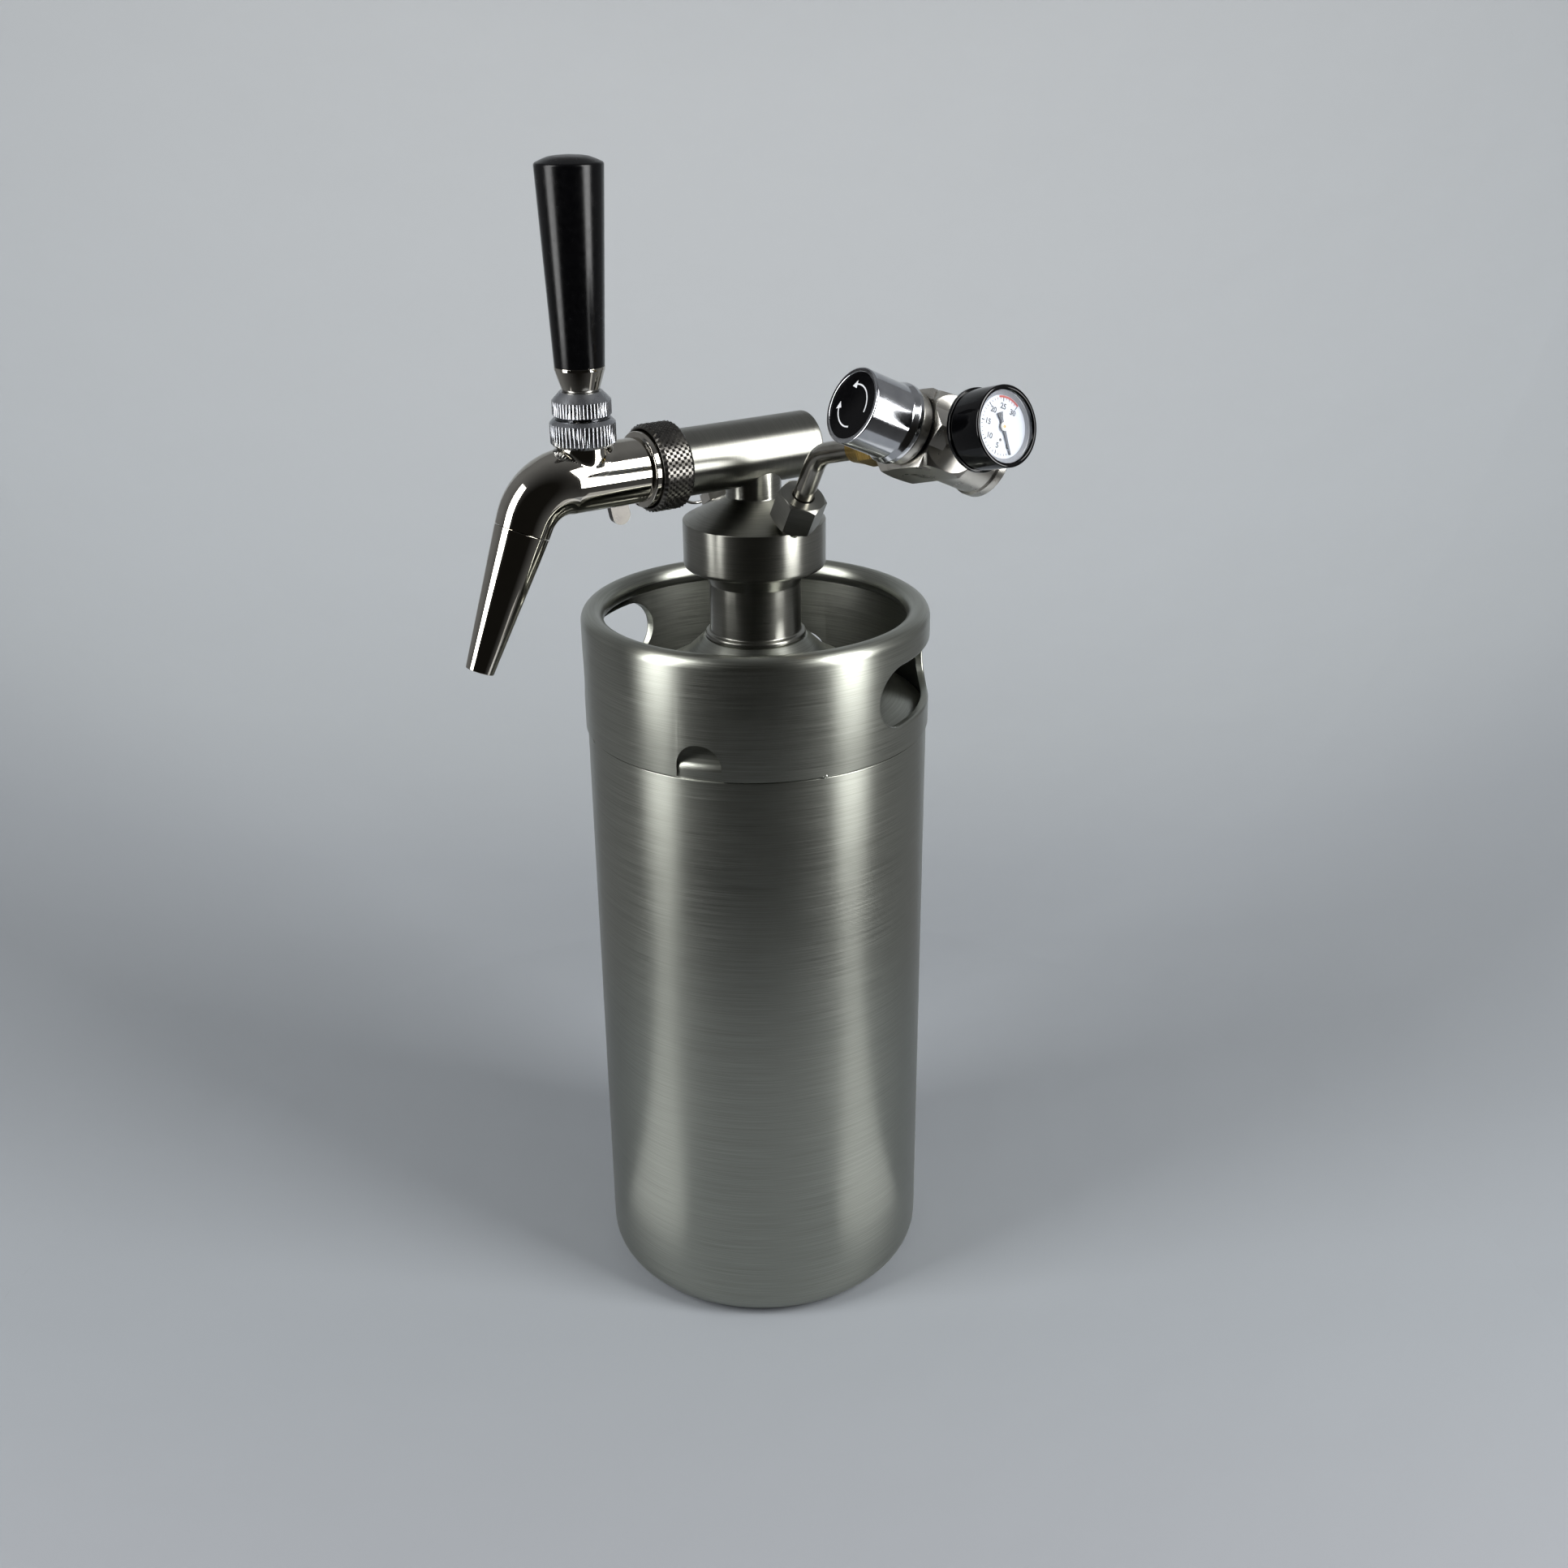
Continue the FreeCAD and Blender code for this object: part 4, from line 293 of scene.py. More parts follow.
ARC_STEP = 12.0
SHARP_EDGE = 35.0
OUTER_SHARE = 0.97


def rounded(points, ease, loop=False):
    """An outline of (radius, height, rounding) with every corner as a short arc."""
    line = []
    count = len(points)
    for index, point in enumerate(points):
        spot = Vector(point[:2])
        at_end = not loop and index in (0, count - 1)
        back = Vector(points[index - 1][:2]) - spot
        ahead = Vector(points[(index + 1) % count][:2]) - spot
        size = point[2] if len(point) > 2 else ease
        if at_end or size <= 0 or back.length < 1e-6 or ahead.length < 1e-6:
            line.append(spot)
            continue
        half = back.angle(ahead) / 2
        if half > math.radians(85):
            line.append(spot)
            continue
        reach = min(size / math.tan(half), 0.48 * back.length, 0.48 * ahead.length)
        size = reach * math.tan(half)
        inward = (back.normalized() + ahead.normalized()).normalized()
        centre = spot + inward * (size / math.sin(half))
        first = spot + back.normalized() * reach - centre
        last = spot + ahead.normalized() * reach - centre
        low = math.atan2(first.y, first.x)
        swing = (math.atan2(last.y, last.x) - low + math.pi) % (2 * math.pi) - math.pi
        steps = max(2, math.ceil(abs(math.degrees(swing)) / ARC_STEP))
        for step in range(steps + 1):
            angle = low + swing * step / steps
            line.append(centre + size * Vector((math.cos(angle), math.sin(angle))))
    return line


def settle(name, work, smooth=True):
    """Turns a bmesh in millimetres into a mesh in metres with clean normals."""
    bmesh.ops.remove_doubles(work, verts=work.verts, dist=1e-5)
    bmesh.ops.recalc_face_normals(work, faces=work.faces)
    bmesh.ops.scale(work, vec=(MM, MM, MM), verts=work.verts)
    mesh = bpy.data.meshes.new(name)
    work.to_mesh(mesh)
    work.free()
    if smooth:
        for face in mesh.polygons:
            face.use_smooth = True
        mesh.set_sharp_from_angle(angle=math.radians(SHARP_EDGE))
    return mesh


def lathe(name, points, sides=128, ease=0.15, loop=False, relief=None, band=None, rows=1):
    """A piece turned about Z. In the band between two heights, relief gives each point's depth."""
    line = rounded(points, ease, loop)
    skin = OUTER_SHARE * max(spot.x for spot in line)
    if band:
        low, high = band
        dense = []
        for index, spot in enumerate(line):
            dense.append(spot)
            after = line[(index + 1) % len(line)]
            if min(spot.x, after.x) > skin and abs(after.y - spot.y) > 0.6 * (high - low):
                for row in range(1, rows):
                    dense.append(spot.lerp(after, row / rows))
        line = dense
    work = bmesh.new()
    rings = []
    count = 0
    for spot in line:
        if spot.x < 1e-6:
            rings.append([work.verts.new((0, 0, spot.y))])
            continue
        inside = bool(band) and band[0] <= spot.y <= band[1] and spot.x > skin
        ring = []
        for side in range(sides):
            angle = 2 * math.pi * side / sides
            radius = spot.x - (relief(count, side) if inside else 0.0)
            ring.append(work.verts.new((radius * math.cos(angle), radius * math.sin(angle), spot.y)))
        count += inside
        rings.append(ring)
    pairs = list(zip(rings, rings[1:]))
    if loop:
        pairs.append((rings[-1], rings[0]))
    for low_ring, high_ring in pairs:
        for side in range(sides):
            after = (side + 1) % sides
            if len(low_ring) == 1 and len(high_ring) == 1:
                continue
            if len(low_ring) == 1:
                work.faces.new((low_ring[0], high_ring[after], high_ring[side]))
            elif len(high_ring) == 1:
                work.faces.new((low_ring[side], low_ring[after], high_ring[0]))
            else:
                quad = (low_ring[side], low_ring[after], high_ring[after], high_ring[side])
                work.faces.new(quad)
    return settle(name, work)


def combined(mesh, tool, operation):
    """One mesh cut, joined or trimmed by another in the same place."""
    first = bpy.data.objects.new("work_piece", mesh)
    second = bpy.data.objects.new("work_tool", tool)
    for thing in (first, second):
        bpy.context.scene.collection.objects.link(thing)
    step = first.modifiers.new("shape", "BOOLEAN")
    step.object = second
    step.operation = operation
    step.solver = "EXACT"
    bpy.context.view_layer.update()
    result = bpy.data.meshes.new_from_object(first.evaluated_get(bpy.context.evaluated_depsgraph_get()))
    bpy.data.objects.remove(first)
    bpy.data.objects.remove(second)
    return smoothed(result)


def smoothed(mesh, angle=SHARP_EDGE):
    """The mesh shaded smooth, with edges steeper than an angle left sharp."""
    for face in mesh.polygons:
        face.use_smooth = True
    mesh.set_sharp_from_angle(angle=math.radians(angle))
    return mesh


def moved(mesh, place):
    """The mesh carried to a place."""
    mesh.transform(place)
    return mesh


def eased(mesh, width):
    """The mesh with its sharp edges rounded."""
    thing = bpy.data.objects.new("work_piece", mesh)
    bpy.context.scene.collection.objects.link(thing)
    step = thing.modifiers.new("edge", "BEVEL")
    step.width = width * MM
    step.segments = 2
    step.limit_method = "ANGLE"
    step.angle_limit = math.radians(SHARP_EDGE)
    step.harden_normals = True
    level = thing.modifiers.new("shade", "WEIGHTED_NORMAL")
    level.keep_sharp = True
    level.weight = 100
    bpy.context.view_layer.update()
    result = bpy.data.meshes.new_from_object(thing.evaluated_get(bpy.context.evaluated_depsgraph_get()))
    bpy.data.objects.remove(thing)
    return result


def prism(name, outline, low, high):
    """A straight block with an outline in XY."""
    work = bmesh.new()
    bottom = [work.verts.new((x, y, low)) for x, y in outline]
    top = [work.verts.new((x, y, high)) for x, y in outline]
    work.faces.new(bottom[::-1])
    work.faces.new(top)
    for index in range(len(outline)):
        after = (index + 1) % len(outline)
        work.faces.new((bottom[index], bottom[after], top[after], top[index]))
    return settle(name, work, smooth=False)


def hexagon(name, flats, low, high):
    """A hexagonal bar with two flats facing Y."""
    radius = flats / 2 / math.cos(math.radians(30))
    corners = [(radius * math.cos(math.radians(60 * k)), radius * math.sin(math.radians(60 * k)))
               for k in range(6)]
    return prism(name, corners, low, high)


def swept(name, centres, radii, across, sides=96):
    """A round bar of changing radius along points of one plane; across is the plane's normal."""
    work = bmesh.new()
    rings = []
    for index, centre in enumerate(centres):
        before = centres[max(index - 1, 0)]
        after = centres[min(index + 1, len(centres) - 1)]
        along = (after - before).normalized()
        up = along.cross(across).normalized()
        ring = []
        for side in range(sides):
            angle = 2 * math.pi * side / sides
            spot = centre + radii[index] * (math.cos(angle) * across + math.sin(angle) * up)
            ring.append(work.verts.new(spot))
        rings.append(ring)
    for low_ring, high_ring in zip(rings, rings[1:]):
        for side in range(sides):
            after = (side + 1) % sides
            work.faces.new((low_ring[side], low_ring[after], high_ring[after], high_ring[side]))
    work.faces.new(rings[0][::-1])
    work.faces.new(rings[-1])
    return settle(name, work)


def piece(name, mesh, place, finish, nodes=(), body=None):
    """Puts a finished mesh in the scene for the nodes that it stands for."""
    made = bpy.data.objects.new(name, mesh)
    bpy.context.scene.collection.objects.link(made)
    made.matrix_world = place
    mesh.materials.clear()
    mesh.materials.append(finish)
    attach(made, body or BODY_OF[nodes[0]])
    if nodes:
        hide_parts(*nodes)
    return made


# Keg

KEG_RADIUS = 70.0
KEG_WALL = 1.0
FOOT_ROUND = 13.0
RING_RADIUS = 44.0
DISH_RADIUS = 39.0
DISH_RISE = 5.0
SHOULDER_HEIGHT = 262.0
CROWN_RADIUS = 30.5
CROWN_HEIGHT = 284.0
MOUTH_RADIUS = 18.5
MOUTH_HEIGHT = 293.0
SEAM_DEPTH = 0.5
COLLAR_RADIUS = 70.73
COLLAR_WALL = 0.73
COLLAR_BOTTOM = 257.0
CURL_RADIUS = 4.68
CURL_HEIGHT = 301.5
CURL_TURN = 300.0
HANDHOLE_AZIMUTH = 38.0
HANDHOLE_HALF = COLLAR_RADIUS * math.sin(math.radians(28.5))
HANDHOLE_BOTTOM = 268.0
HANDHOLE_TOP = 293.0
HANDHOLE_CORNER = 12.4
HANDHOLE_LIP = 3.0
LIP_ROUND = 1.2
NOTCH_AZIMUTH = 128.0
NOTCH_WIDTH = 18.2
NOTCH_TOP = 271.0
NECK_TOP = 334.5
NECK_FLARE = 21.0
NECK_BORE = 16.5
WELD_AZIMUTHS = (348.0, 258.0)


def keg_shell():
    """The pressed vessel, with a fine step where the collar's edge is welded on."""
    outer = [
        (0, DISH_RISE),
        (DISH_RADIUS, DISH_RISE, 4.0),
        (RING_RADIUS, 0, 1.5),
        (KEG_RADIUS, 0, FOOT_ROUND),
        (KEG_RADIUS, COLLAR_BOTTOM - 0.9, 0.2),
        (KEG_RADIUS - SEAM_DEPTH, COLLAR_BOTTOM - 0.6, 0.1),
        (KEG_RADIUS - SEAM_DEPTH, COLLAR_BOTTOM + 0.5, 0.1),
        (KEG_RADIUS, SHOULDER_HEIGHT, 6.0),
        (CROWN_RADIUS, CROWN_HEIGHT, 6.0),
        (MOUTH_RADIUS + 2.5, MOUTH_HEIGHT, 1.0),
        (MOUTH_RADIUS, MOUTH_HEIGHT),
    ]
    inner = [
        (MOUTH_RADIUS, MOUTH_HEIGHT - 1.5),
        (MOUTH_RADIUS + 2.0, MOUTH_HEIGHT - 1.5, 1.0),
        (CROWN_RADIUS - 0.5, CROWN_HEIGHT - 1.4, 5.0),
        (KEG_RADIUS - KEG_WALL, SHOULDER_HEIGHT - KEG_WALL, 6.0),
        (KEG_RADIUS - KEG_WALL, KEG_WALL, FOOT_ROUND - KEG_WALL),
        (RING_RADIUS + 0.5, KEG_WALL, 1.0),
        (DISH_RADIUS + 0.3, DISH_RISE + KEG_WALL, 3.0),
        (0, DISH_RISE + KEG_WALL),
    ]
    mesh = lathe("keg_shell", outer + inner, 192)
    piece("keg_shell_skin", mesh, HERE, BRUSHED, ["keg_shell"])


def slot_outline(half, low, high, corner, steps=9):
    """A long round-cornered opening as (across, height, normal) points."""
    points = []
    for centre_u, centre_z, start in (
        (half - corner, high - corner, 0), (corner - half, high - corner, 90),
        (corner - half, low + corner, 180), (half - corner, low + corner, 270),
    ):
        for step in range(steps + 1):
            angle = math.radians(start + 90 * step / steps)
            normal = (math.cos(angle), math.sin(angle))
            points.append((centre_u + corner * normal[0], centre_z + corner * normal[1], normal))
    dense = []
    for index, (u, z, normal) in enumerate(points):
        dense.append((u, z, normal))
        after = points[(index + 1) % len(points)]
        gap = after[0] - u
        if abs(gap) > 6:
            for step in range(1, 12):
                dense.append((u + gap * step / 12, z, normal))
    return dense


def opening_cutter(name, outline, grow, azimuth):
    """A block along X through the collar's wall, turned to an azimuth."""
    flat = [(u + n[0] * grow, z + n[1] * grow) for u, z, n in outline]
    block = prism(name, flat, 40.0, 90.0)
    upright = Matrix(((0, 0, 1, 0), (1, 0, 0, 0), (0, 1, 0, 0), (0, 0, 0, 1)))
    return moved(block, turn(azimuth, "Z") @ upright)


def handhole_lip(outline, azimuth):
    """The hand hole's edge, pressed inward in a quarter round."""
    profile = []
    for step in range(7):
        angle = math.radians(90 * step / 6)
        profile.append((LIP_ROUND * (1 - math.sin(angle)), LIP_ROUND * (1 - math.cos(angle))))
    profile += [(0.0, HANDHOLE_LIP), (COLLAR_WALL, HANDHOLE_LIP), (COLLAR_WALL, LIP_ROUND * 1.2)]
    profile.append((LIP_ROUND, COLLAR_WALL))
    work = bmesh.new()
    rings = []
    for u, z, normal in outline:
        ring = []
        for offset, depth in profile:
            side = u + normal[0] * offset
            radius = COLLAR_RADIUS - depth
            ring.append(work.verts.new((math.sqrt(radius ** 2 - side ** 2), side, z + normal[1] * offset)))
        rings.append(ring)
    for index, ring in enumerate(rings):
        following = rings[(index + 1) % len(rings)]
        for step in range(len(profile)):
            after = (step + 1) % len(profile)
            work.faces.new((ring[step], ring[after], following[after], following[step]))
    mesh = settle("handhole_lip", work)
    return moved(mesh, turn(azimuth, "Z"))


def weld_tack(azimuth):
    """A small bead of weld in the corner between the collar's edge and the keg."""
    work = bmesh.new()
    bmesh.ops.create_icosphere(work, subdivisions=3, radius=1.0)
    bmesh.ops.scale(work, vec=(0.75, 1.9, 0.8), verts=work.verts)
    for vert in work.verts:
        vert.co.z += 0.25 * math.sin(2.6 * vert.co.y + math.radians(azimuth))
    return moved(settle("weld_tack", work), turn(azimuth, "Z") @ shift(KEG_RADIUS + 0.2, 0, COLLAR_BOTTOM))


def keg_collar():
    """The collar: a thin wall that ends in a rolled rim, with hand holes, notches and weld tacks."""
    curl_centre = COLLAR_RADIUS - CURL_RADIUS
    steps = 28
    outer = []
    inner = []
    for step in range(steps + 1):
        angle = math.radians(CURL_TURN * step / steps)
        way = Vector((math.cos(angle), math.sin(angle)))
        outer.append((curl_centre + CURL_RADIUS * way.x, CURL_HEIGHT + CURL_RADIUS * way.y, 0))
        inside = CURL_RADIUS - COLLAR_WALL
        inner.append((curl_centre + inside * way.x, CURL_HEIGHT + inside * way.y, 0))
    line = [
        (COLLAR_RADIUS, COLLAR_BOTTOM, 0.1),
        *outer,
        *inner[::-1],
        (COLLAR_RADIUS - COLLAR_WALL, COLLAR_BOTTOM, 0.1),
    ]
    mesh = lathe("keg_collar", line, 256, ease=0, loop=True)
    hole = slot_outline(HANDHOLE_HALF, HANDHOLE_BOTTOM, HANDHOLE_TOP, HANDHOLE_CORNER)
    notch = slot_outline(NOTCH_WIDTH / 2, COLLAR_BOTTOM - 14, NOTCH_TOP, NOTCH_WIDTH / 2 - 0.1)
    for side in (0, 180):
        cutter = opening_cutter("hole", hole, LIP_ROUND, HANDHOLE_AZIMUTH + side)
        mesh = combined(mesh, cutter, "DIFFERENCE")
        cutter = opening_cutter("notch", notch, 0.0, NOTCH_AZIMUTH + side)
        mesh = combined(mesh, cutter, "DIFFERENCE")
    work = bmesh.new()
    work.from_mesh(mesh)
    for side in (0, 180):
        work.from_mesh(handhole_lip(hole, HANDHOLE_AZIMUTH + side))
        for azimuth in WELD_AZIMUTHS:
            work.from_mesh(weld_tack(azimuth + side))
    work.to_mesh(mesh)
    work.free()
    collar = piece("keg_collar_skin", smoothed(mesh), HERE, BRUSHED, ["keg_collar"])
    # Faces that point inward, below the curl, get the darker, duller metal.
    collar.data.materials.append(DARKER_COLLAR_INSIDE)
    for face in collar.data.polygons:
        outward = Vector((face.center.x, face.center.y, 0)).normalized()
        if face.normal.dot(outward) < -0.5 and face.center.z < CURL_HEIGHT * MM:
            face.material_index = 1


def keg_neck():
    """The neck tube: a ring of weld at its foot and a flare below the cap."""
    line = [
        (NECK_BORE, MOUTH_HEIGHT - 5),
        (MOUTH_RADIUS, MOUTH_HEIGHT - 5),
        (MOUTH_RADIUS, MOUTH_HEIGHT),
        (MOUTH_RADIUS + 1.9, MOUTH_HEIGHT, 0.6),
        (MOUTH_RADIUS + 1.9, MOUTH_HEIGHT + 2, 0.9),
        (MOUTH_RADIUS, MOUTH_HEIGHT + 2.2, 0.8),
        (MOUTH_RADIUS, NECK_TOP - 19, 1.2),
        (NECK_FLARE, NECK_TOP - 13.5, 1.0),
        (NECK_FLARE, NECK_TOP, 0.6),
        (NECK_BORE, NECK_TOP, 0.6),
    ]
    mesh = lathe("keg_neck", line, 128, loop=True)
    piece("keg_neck_skin", mesh, HERE, TURNED, ["keg_neck"])


# Cap and shank

CAP_RADIUS = 28.5
CAP_BORE = 21.3
CAP_BOTTOM = 322.0
CAP_CEILING = 336.0
CAP_SHOULDER = 341.0
BOSS_RADIUS = 11.0
BOSS_FOOT = 350.5
BOSS_TOP = 361.0
SHANK_RADIUS = 12.9
SHANK_BORE = 5.0
SHANK_BACK = -22.0
SHANK_FRONT = 44.3
FLANGE_RADIUS = 13.9
FLANGE_BACK = 39.3


def cap_body():
    """The screw cap: a skirt, a cone and the boss that carries the shank."""
    line = [
        (CAP_BORE, CAP_CEILING),
        (CAP_BORE, CAP_BOTTOM, 0.5),
        (CAP_RADIUS, CAP_BOTTOM, 2.0),
        (CAP_RADIUS, CAP_SHOULDER, 0.5),
        (BOSS_RADIUS, BOSS_FOOT, 1.0),
        (BOSS_RADIUS, BOSS_TOP),
        (0, BOSS_TOP),
        (0, CAP_CEILING),
    ]
    piece("cap_body_skin", lathe("cap_body", line, 160), HERE, TURNED, ["cap_body"])


def shank():
    """The level tube on the boss and the plug that closes its back."""
    tube = [
        (SHANK_BORE, SHANK_BACK),
        (SHANK_RADIUS, SHANK_BACK, 0),
        (SHANK_RADIUS, FLANGE_BACK),
        (FLANGE_RADIUS, FLANGE_BACK),
        (FLANGE_RADIUS, SHANK_FRONT),
        (SHANK_BORE, SHANK_FRONT),
    ]
    mesh = lathe("shank_tube", tube, 128, loop=True)
    piece("shank_tube_skin", mesh, TAP, TURNED, ["shank_tube"])
    plug = [
        (0, SHANK_BACK - 3),
        (SHANK_RADIUS, SHANK_BACK - 3, 0.9),
        (SHANK_RADIUS, SHANK_BACK - 0.02, 0.1),
        (SHANK_BORE, SHANK_BACK - 0.02),
        (SHANK_BORE, SHANK_BACK + 10),
        (0, SHANK_BACK + 10),
    ]
    piece("shank_plug_skin", lathe("shank_plug", plug, 128), TAP, TURNED, ["shank_plug"])


NUT_RADIUS = 16.7
NUT_BACK = 36.3
NUT_FRONT = 49.3
NUT_EDGE = 1.2
KNURL_PITCH = 2.4
KNURL_STEPS = 4
KNURL_EDGE = 14.0
KNURL_DEPTH = 0.55


def knurl_cut(row, side):
    """Depth of the two crossing sets of slanted grooves, which leave small pyramids."""
    one = abs((side + row) / KNURL_STEPS % 1 - 0.5) * 2
    other = abs((side - row) / KNURL_STEPS % 1 - 0.5) * 2
    return KNURL_DEPTH * max(one, other)


def coupling_nut():
    """A screwed ring rolled with a diamond knurl."""
    low = NUT_BACK + NUT_EDGE
    high = NUT_FRONT - NUT_EDGE
    diamonds = round(2 * math.pi * NUT_RADIUS / KNURL_PITCH)
    rows = KNURL_STEPS * round((high - low) / KNURL_PITCH)
    line = [
        (SHANK_RADIUS + 0.05, NUT_BACK),
        (NUT_RADIUS - NUT_EDGE, NUT_BACK, 0.3),
        (NUT_RADIUS, low, 0),
        (NUT_RADIUS, high, 0),
        (NUT_RADIUS - NUT_EDGE, NUT_FRONT, 0.3),
        (15.0, NUT_FRONT),
        (14.35, high),
        (14.35, 44.4),
        (14.35, FLANGE_BACK),
        (SHANK_RADIUS + 0.05, FLANGE_BACK),
    ]
    mesh = lathe(
        "coupling_nut", line, KNURL_STEPS * diamonds, ease=0.2, loop=True,
        relief=knurl_cut, band=(low, high), rows=rows,
    )
    piece("coupling_nut_skin", smoothed(mesh, KNURL_EDGE), TAP, KNURLED, ["coupling_nut"])


# Faucet

BARREL_RADIUS = 12.25
BARREL_BACK = 51.0
JOINT_RADIUS = 10.4
NECK_RADIUS = 10.1
NECK_HEIGHT = 12.5
NECK_BLEND = 3.4
SPOUT_LENGTH = 54.2
SPOUT_TIP = 5.4
SPOUT_BORE = 4.4
SPIGOT_RADIUS = 7.6


def faucet_spine():
    """Points of the faucet's centre line and its radius there, from the nut to the spout joint."""
    reach = BEND_RADIUS * math.tan(math.radians(BEND_ANGLE / 2))
    start = BEND_CORNER - reach
    centres = [Vector((0, 0, BARREL_BACK)), Vector((0, 0, start - 12)), Vector((0, 0, start - 4))]
    radii = [BARREL_RADIUS] * 3
    end_run = JOINT_RUN - reach
    bend = math.radians(BEND_ANGLE)
    length = BEND_RADIUS * bend + end_run
    steps = 40
    for step in range(steps + 1):
        angle = bend * step / steps
        centres.append(Vector((
            0, -BEND_RADIUS * (1 - math.cos(angle)), start + BEND_RADIUS * math.sin(angle)
        )))
        share = BEND_RADIUS * angle / length
        radii.append(BARREL_RADIUS + (JOINT_RADIUS - BARREL_RADIUS) * share)
    way = Vector((0, -math.sin(bend), math.cos(bend)))
    centres.append(centres[-1] + way * end_run)
    radii.append(JOINT_RADIUS)
    return centres, radii


def faucet_top(x, along):
    """The height of the barrel's or bend's top over a point."""
    start = BEND_CORNER - BEND_RADIUS * math.tan(math.radians(BEND_ANGLE / 2))
    half = math.sqrt(max(BARREL_RADIUS ** 2 - x ** 2, 0.0))
    if along <= start:
        return half
    return math.sqrt((BEND_RADIUS + half) ** 2 - (along - start) ** 2) - BEND_RADIUS


def lever_neck():
    """The upright neck, with a fillet that follows the barrel and the bend all round."""
    neck = bmesh.new()
    rings = []
    columns = 144
    for column in range(columns):
        angle = 2 * math.pi * column / columns
        across, along = math.cos(angle), math.sin(angle)

        def top(radius):
            return faucet_top(across * radius, HANDLE_REACH + along * radius)

        foot = top(NECK_RADIUS)
        blend = min(NECK_BLEND, (NECK_HEIGHT - foot) * 0.8 + 0.15)
        slope = (top(NECK_RADIUS + 0.2) - foot) / 0.2
        reach = blend / math.sqrt(1 + slope ** 2)
        end = NECK_RADIUS + reach
        ring = [(NECK_RADIUS, 18.0), (NECK_RADIUS, foot + blend)]
        for step in range(1, 9):
            t = step / 8
            radius = (1 - t) ** 2 * NECK_RADIUS + 2 * t * (1 - t) * NECK_RADIUS + t ** 2 * end
            height = (1 - t) ** 2 * (foot + blend) + 2 * t * (1 - t) * foot + t ** 2 * (top(end) + 0.004)
            ring.append((radius, height))
        ring.append((end - 0.8, top(end) - 1.2))
        rings.append([neck.verts.new((across * r, h, HANDLE_REACH + along * r)) for r, h in ring])
    for column in range(columns):
        following = rings[(column + 1) % columns]
        for step in range(len(rings[0]) - 1):
            here = rings[column]
            neck.faces.new((here[step], here[step + 1], following[step + 1], following[step]))
    neck.faces.new([ring[0] for ring in rings])
    return settle("faucet_neck", neck)


def faucet_body():
    """The tap's casting: barrel and bend, the collar behind the nut, and the lever's neck."""
    centres, radii = faucet_spine()
    casting = swept("faucet_casting", centres, radii, Vector((1, 0, 0)), 160)
    line = [(0, 44.8), (14.3, 44.8), (14.3, 51.8, 0.6), (12.9, 52.3, 0.6), (11, 52.4), (0, 52.4)]
    collar = lathe("faucet_collar", line, 128)
    work = bmesh.new()
    for mesh in (casting, collar, lever_neck()):
        work.from_mesh(mesh)
    work.to_mesh(casting)
    work.free()
    piece("faucet_body_skin", smoothed(casting), TAP, POLISHED, ["faucet_body"])


def faucet_spout():
    """The tapering spout, screwed on with a fine gap at the joint."""
    line = [
        (5, -3.6),
        (SPIGOT_RADIUS, -3.6),
        (SPIGOT_RADIUS, 0.3),
        (JOINT_RADIUS, 0.3, 0.12),
        (SPOUT_TIP, SPOUT_LENGTH, 0.3),
        (SPOUT_BORE, SPOUT_LENGTH, 0.3),
        (SPOUT_BORE, SPOUT_LENGTH - 12),
        (5, SPOUT_LENGTH / 2 - 0.1),
    ]
    mesh = lathe("faucet_spout", line, 128, loop=True)
    piece("faucet_spout_skin", mesh, SPOUT, POLISHED, ["faucet_spout"])


# Handle

RIBS = 46
RIB_DEPTH = 0.5
COLUMNS_A_RIB = 6
BONNET_RADIUS = 12.1
BONNET_LOW = 13.75
BONNET_HIGH = 20.95
JAM_RADIUS = 10.85
JAM_LOW = 23.9
JAM_HIGH = 29.1
STUD_BORE = 3.5
FERRULE_RADIUS = 9.25
INSERT_RADIUS = 5.0
GRIP_FOOT = 41.12
GRIP_RADIUS = 12.25
GRIP_TOP = 113.05


def ribbed(name, line, low, high):
    """A ring cut with straight ribs like a coin's edge."""
    depths = (RIB_DEPTH, 0.9 * RIB_DEPTH, 0.25 * RIB_DEPTH, 0.0, 0.0, 0.25 * RIB_DEPTH)
    return lathe(
        name, line, RIBS * COLUMNS_A_RIB, ease=0.15, loop=True,
        relief=lambda row, side: depths[side % COLUMNS_A_RIB], band=(low, high), rows=2,
    )


def hand_nuts():
    """The two ribbed rings below the handle."""
    bonnet = [
        (10.15, 12.55),
        (10.9, 12.55, 0.3),
        (BONNET_RADIUS, BONNET_LOW, 0),
        (BONNET_RADIUS, BONNET_HIGH, 0),
        (10.6, 22.45, 0.3),
        (9.2, 22.45),
        (7.7, 18.25),
        (10.15, 18.25),
    ]
    mesh = ribbed("handle_bonnet", bonnet, BONNET_LOW, BONNET_HIGH)
    piece("handle_bonnet_skin", mesh, HANDLE, RIB_CHROME, ["handle_bonnet"])
    jam = [
        (STUD_BORE, 26.25),
        (9.9, 26.25),
        (9.9, 23.45, 0.15),
        (10.4, 23.45, 0.1),
        (JAM_RADIUS, JAM_LOW, 0),
        (JAM_RADIUS, JAM_HIGH, 0),
        (10.4, 29.55, 0.2),
        (7.8, 32.25, 0.3),
        (STUD_BORE, 32.25),
    ]
    mesh = ribbed("jam_nut", jam, JAM_LOW, JAM_HIGH)
    piece("jam_nut_skin", mesh, HANDLE, RIB_CHROME, ["jam_nut"])


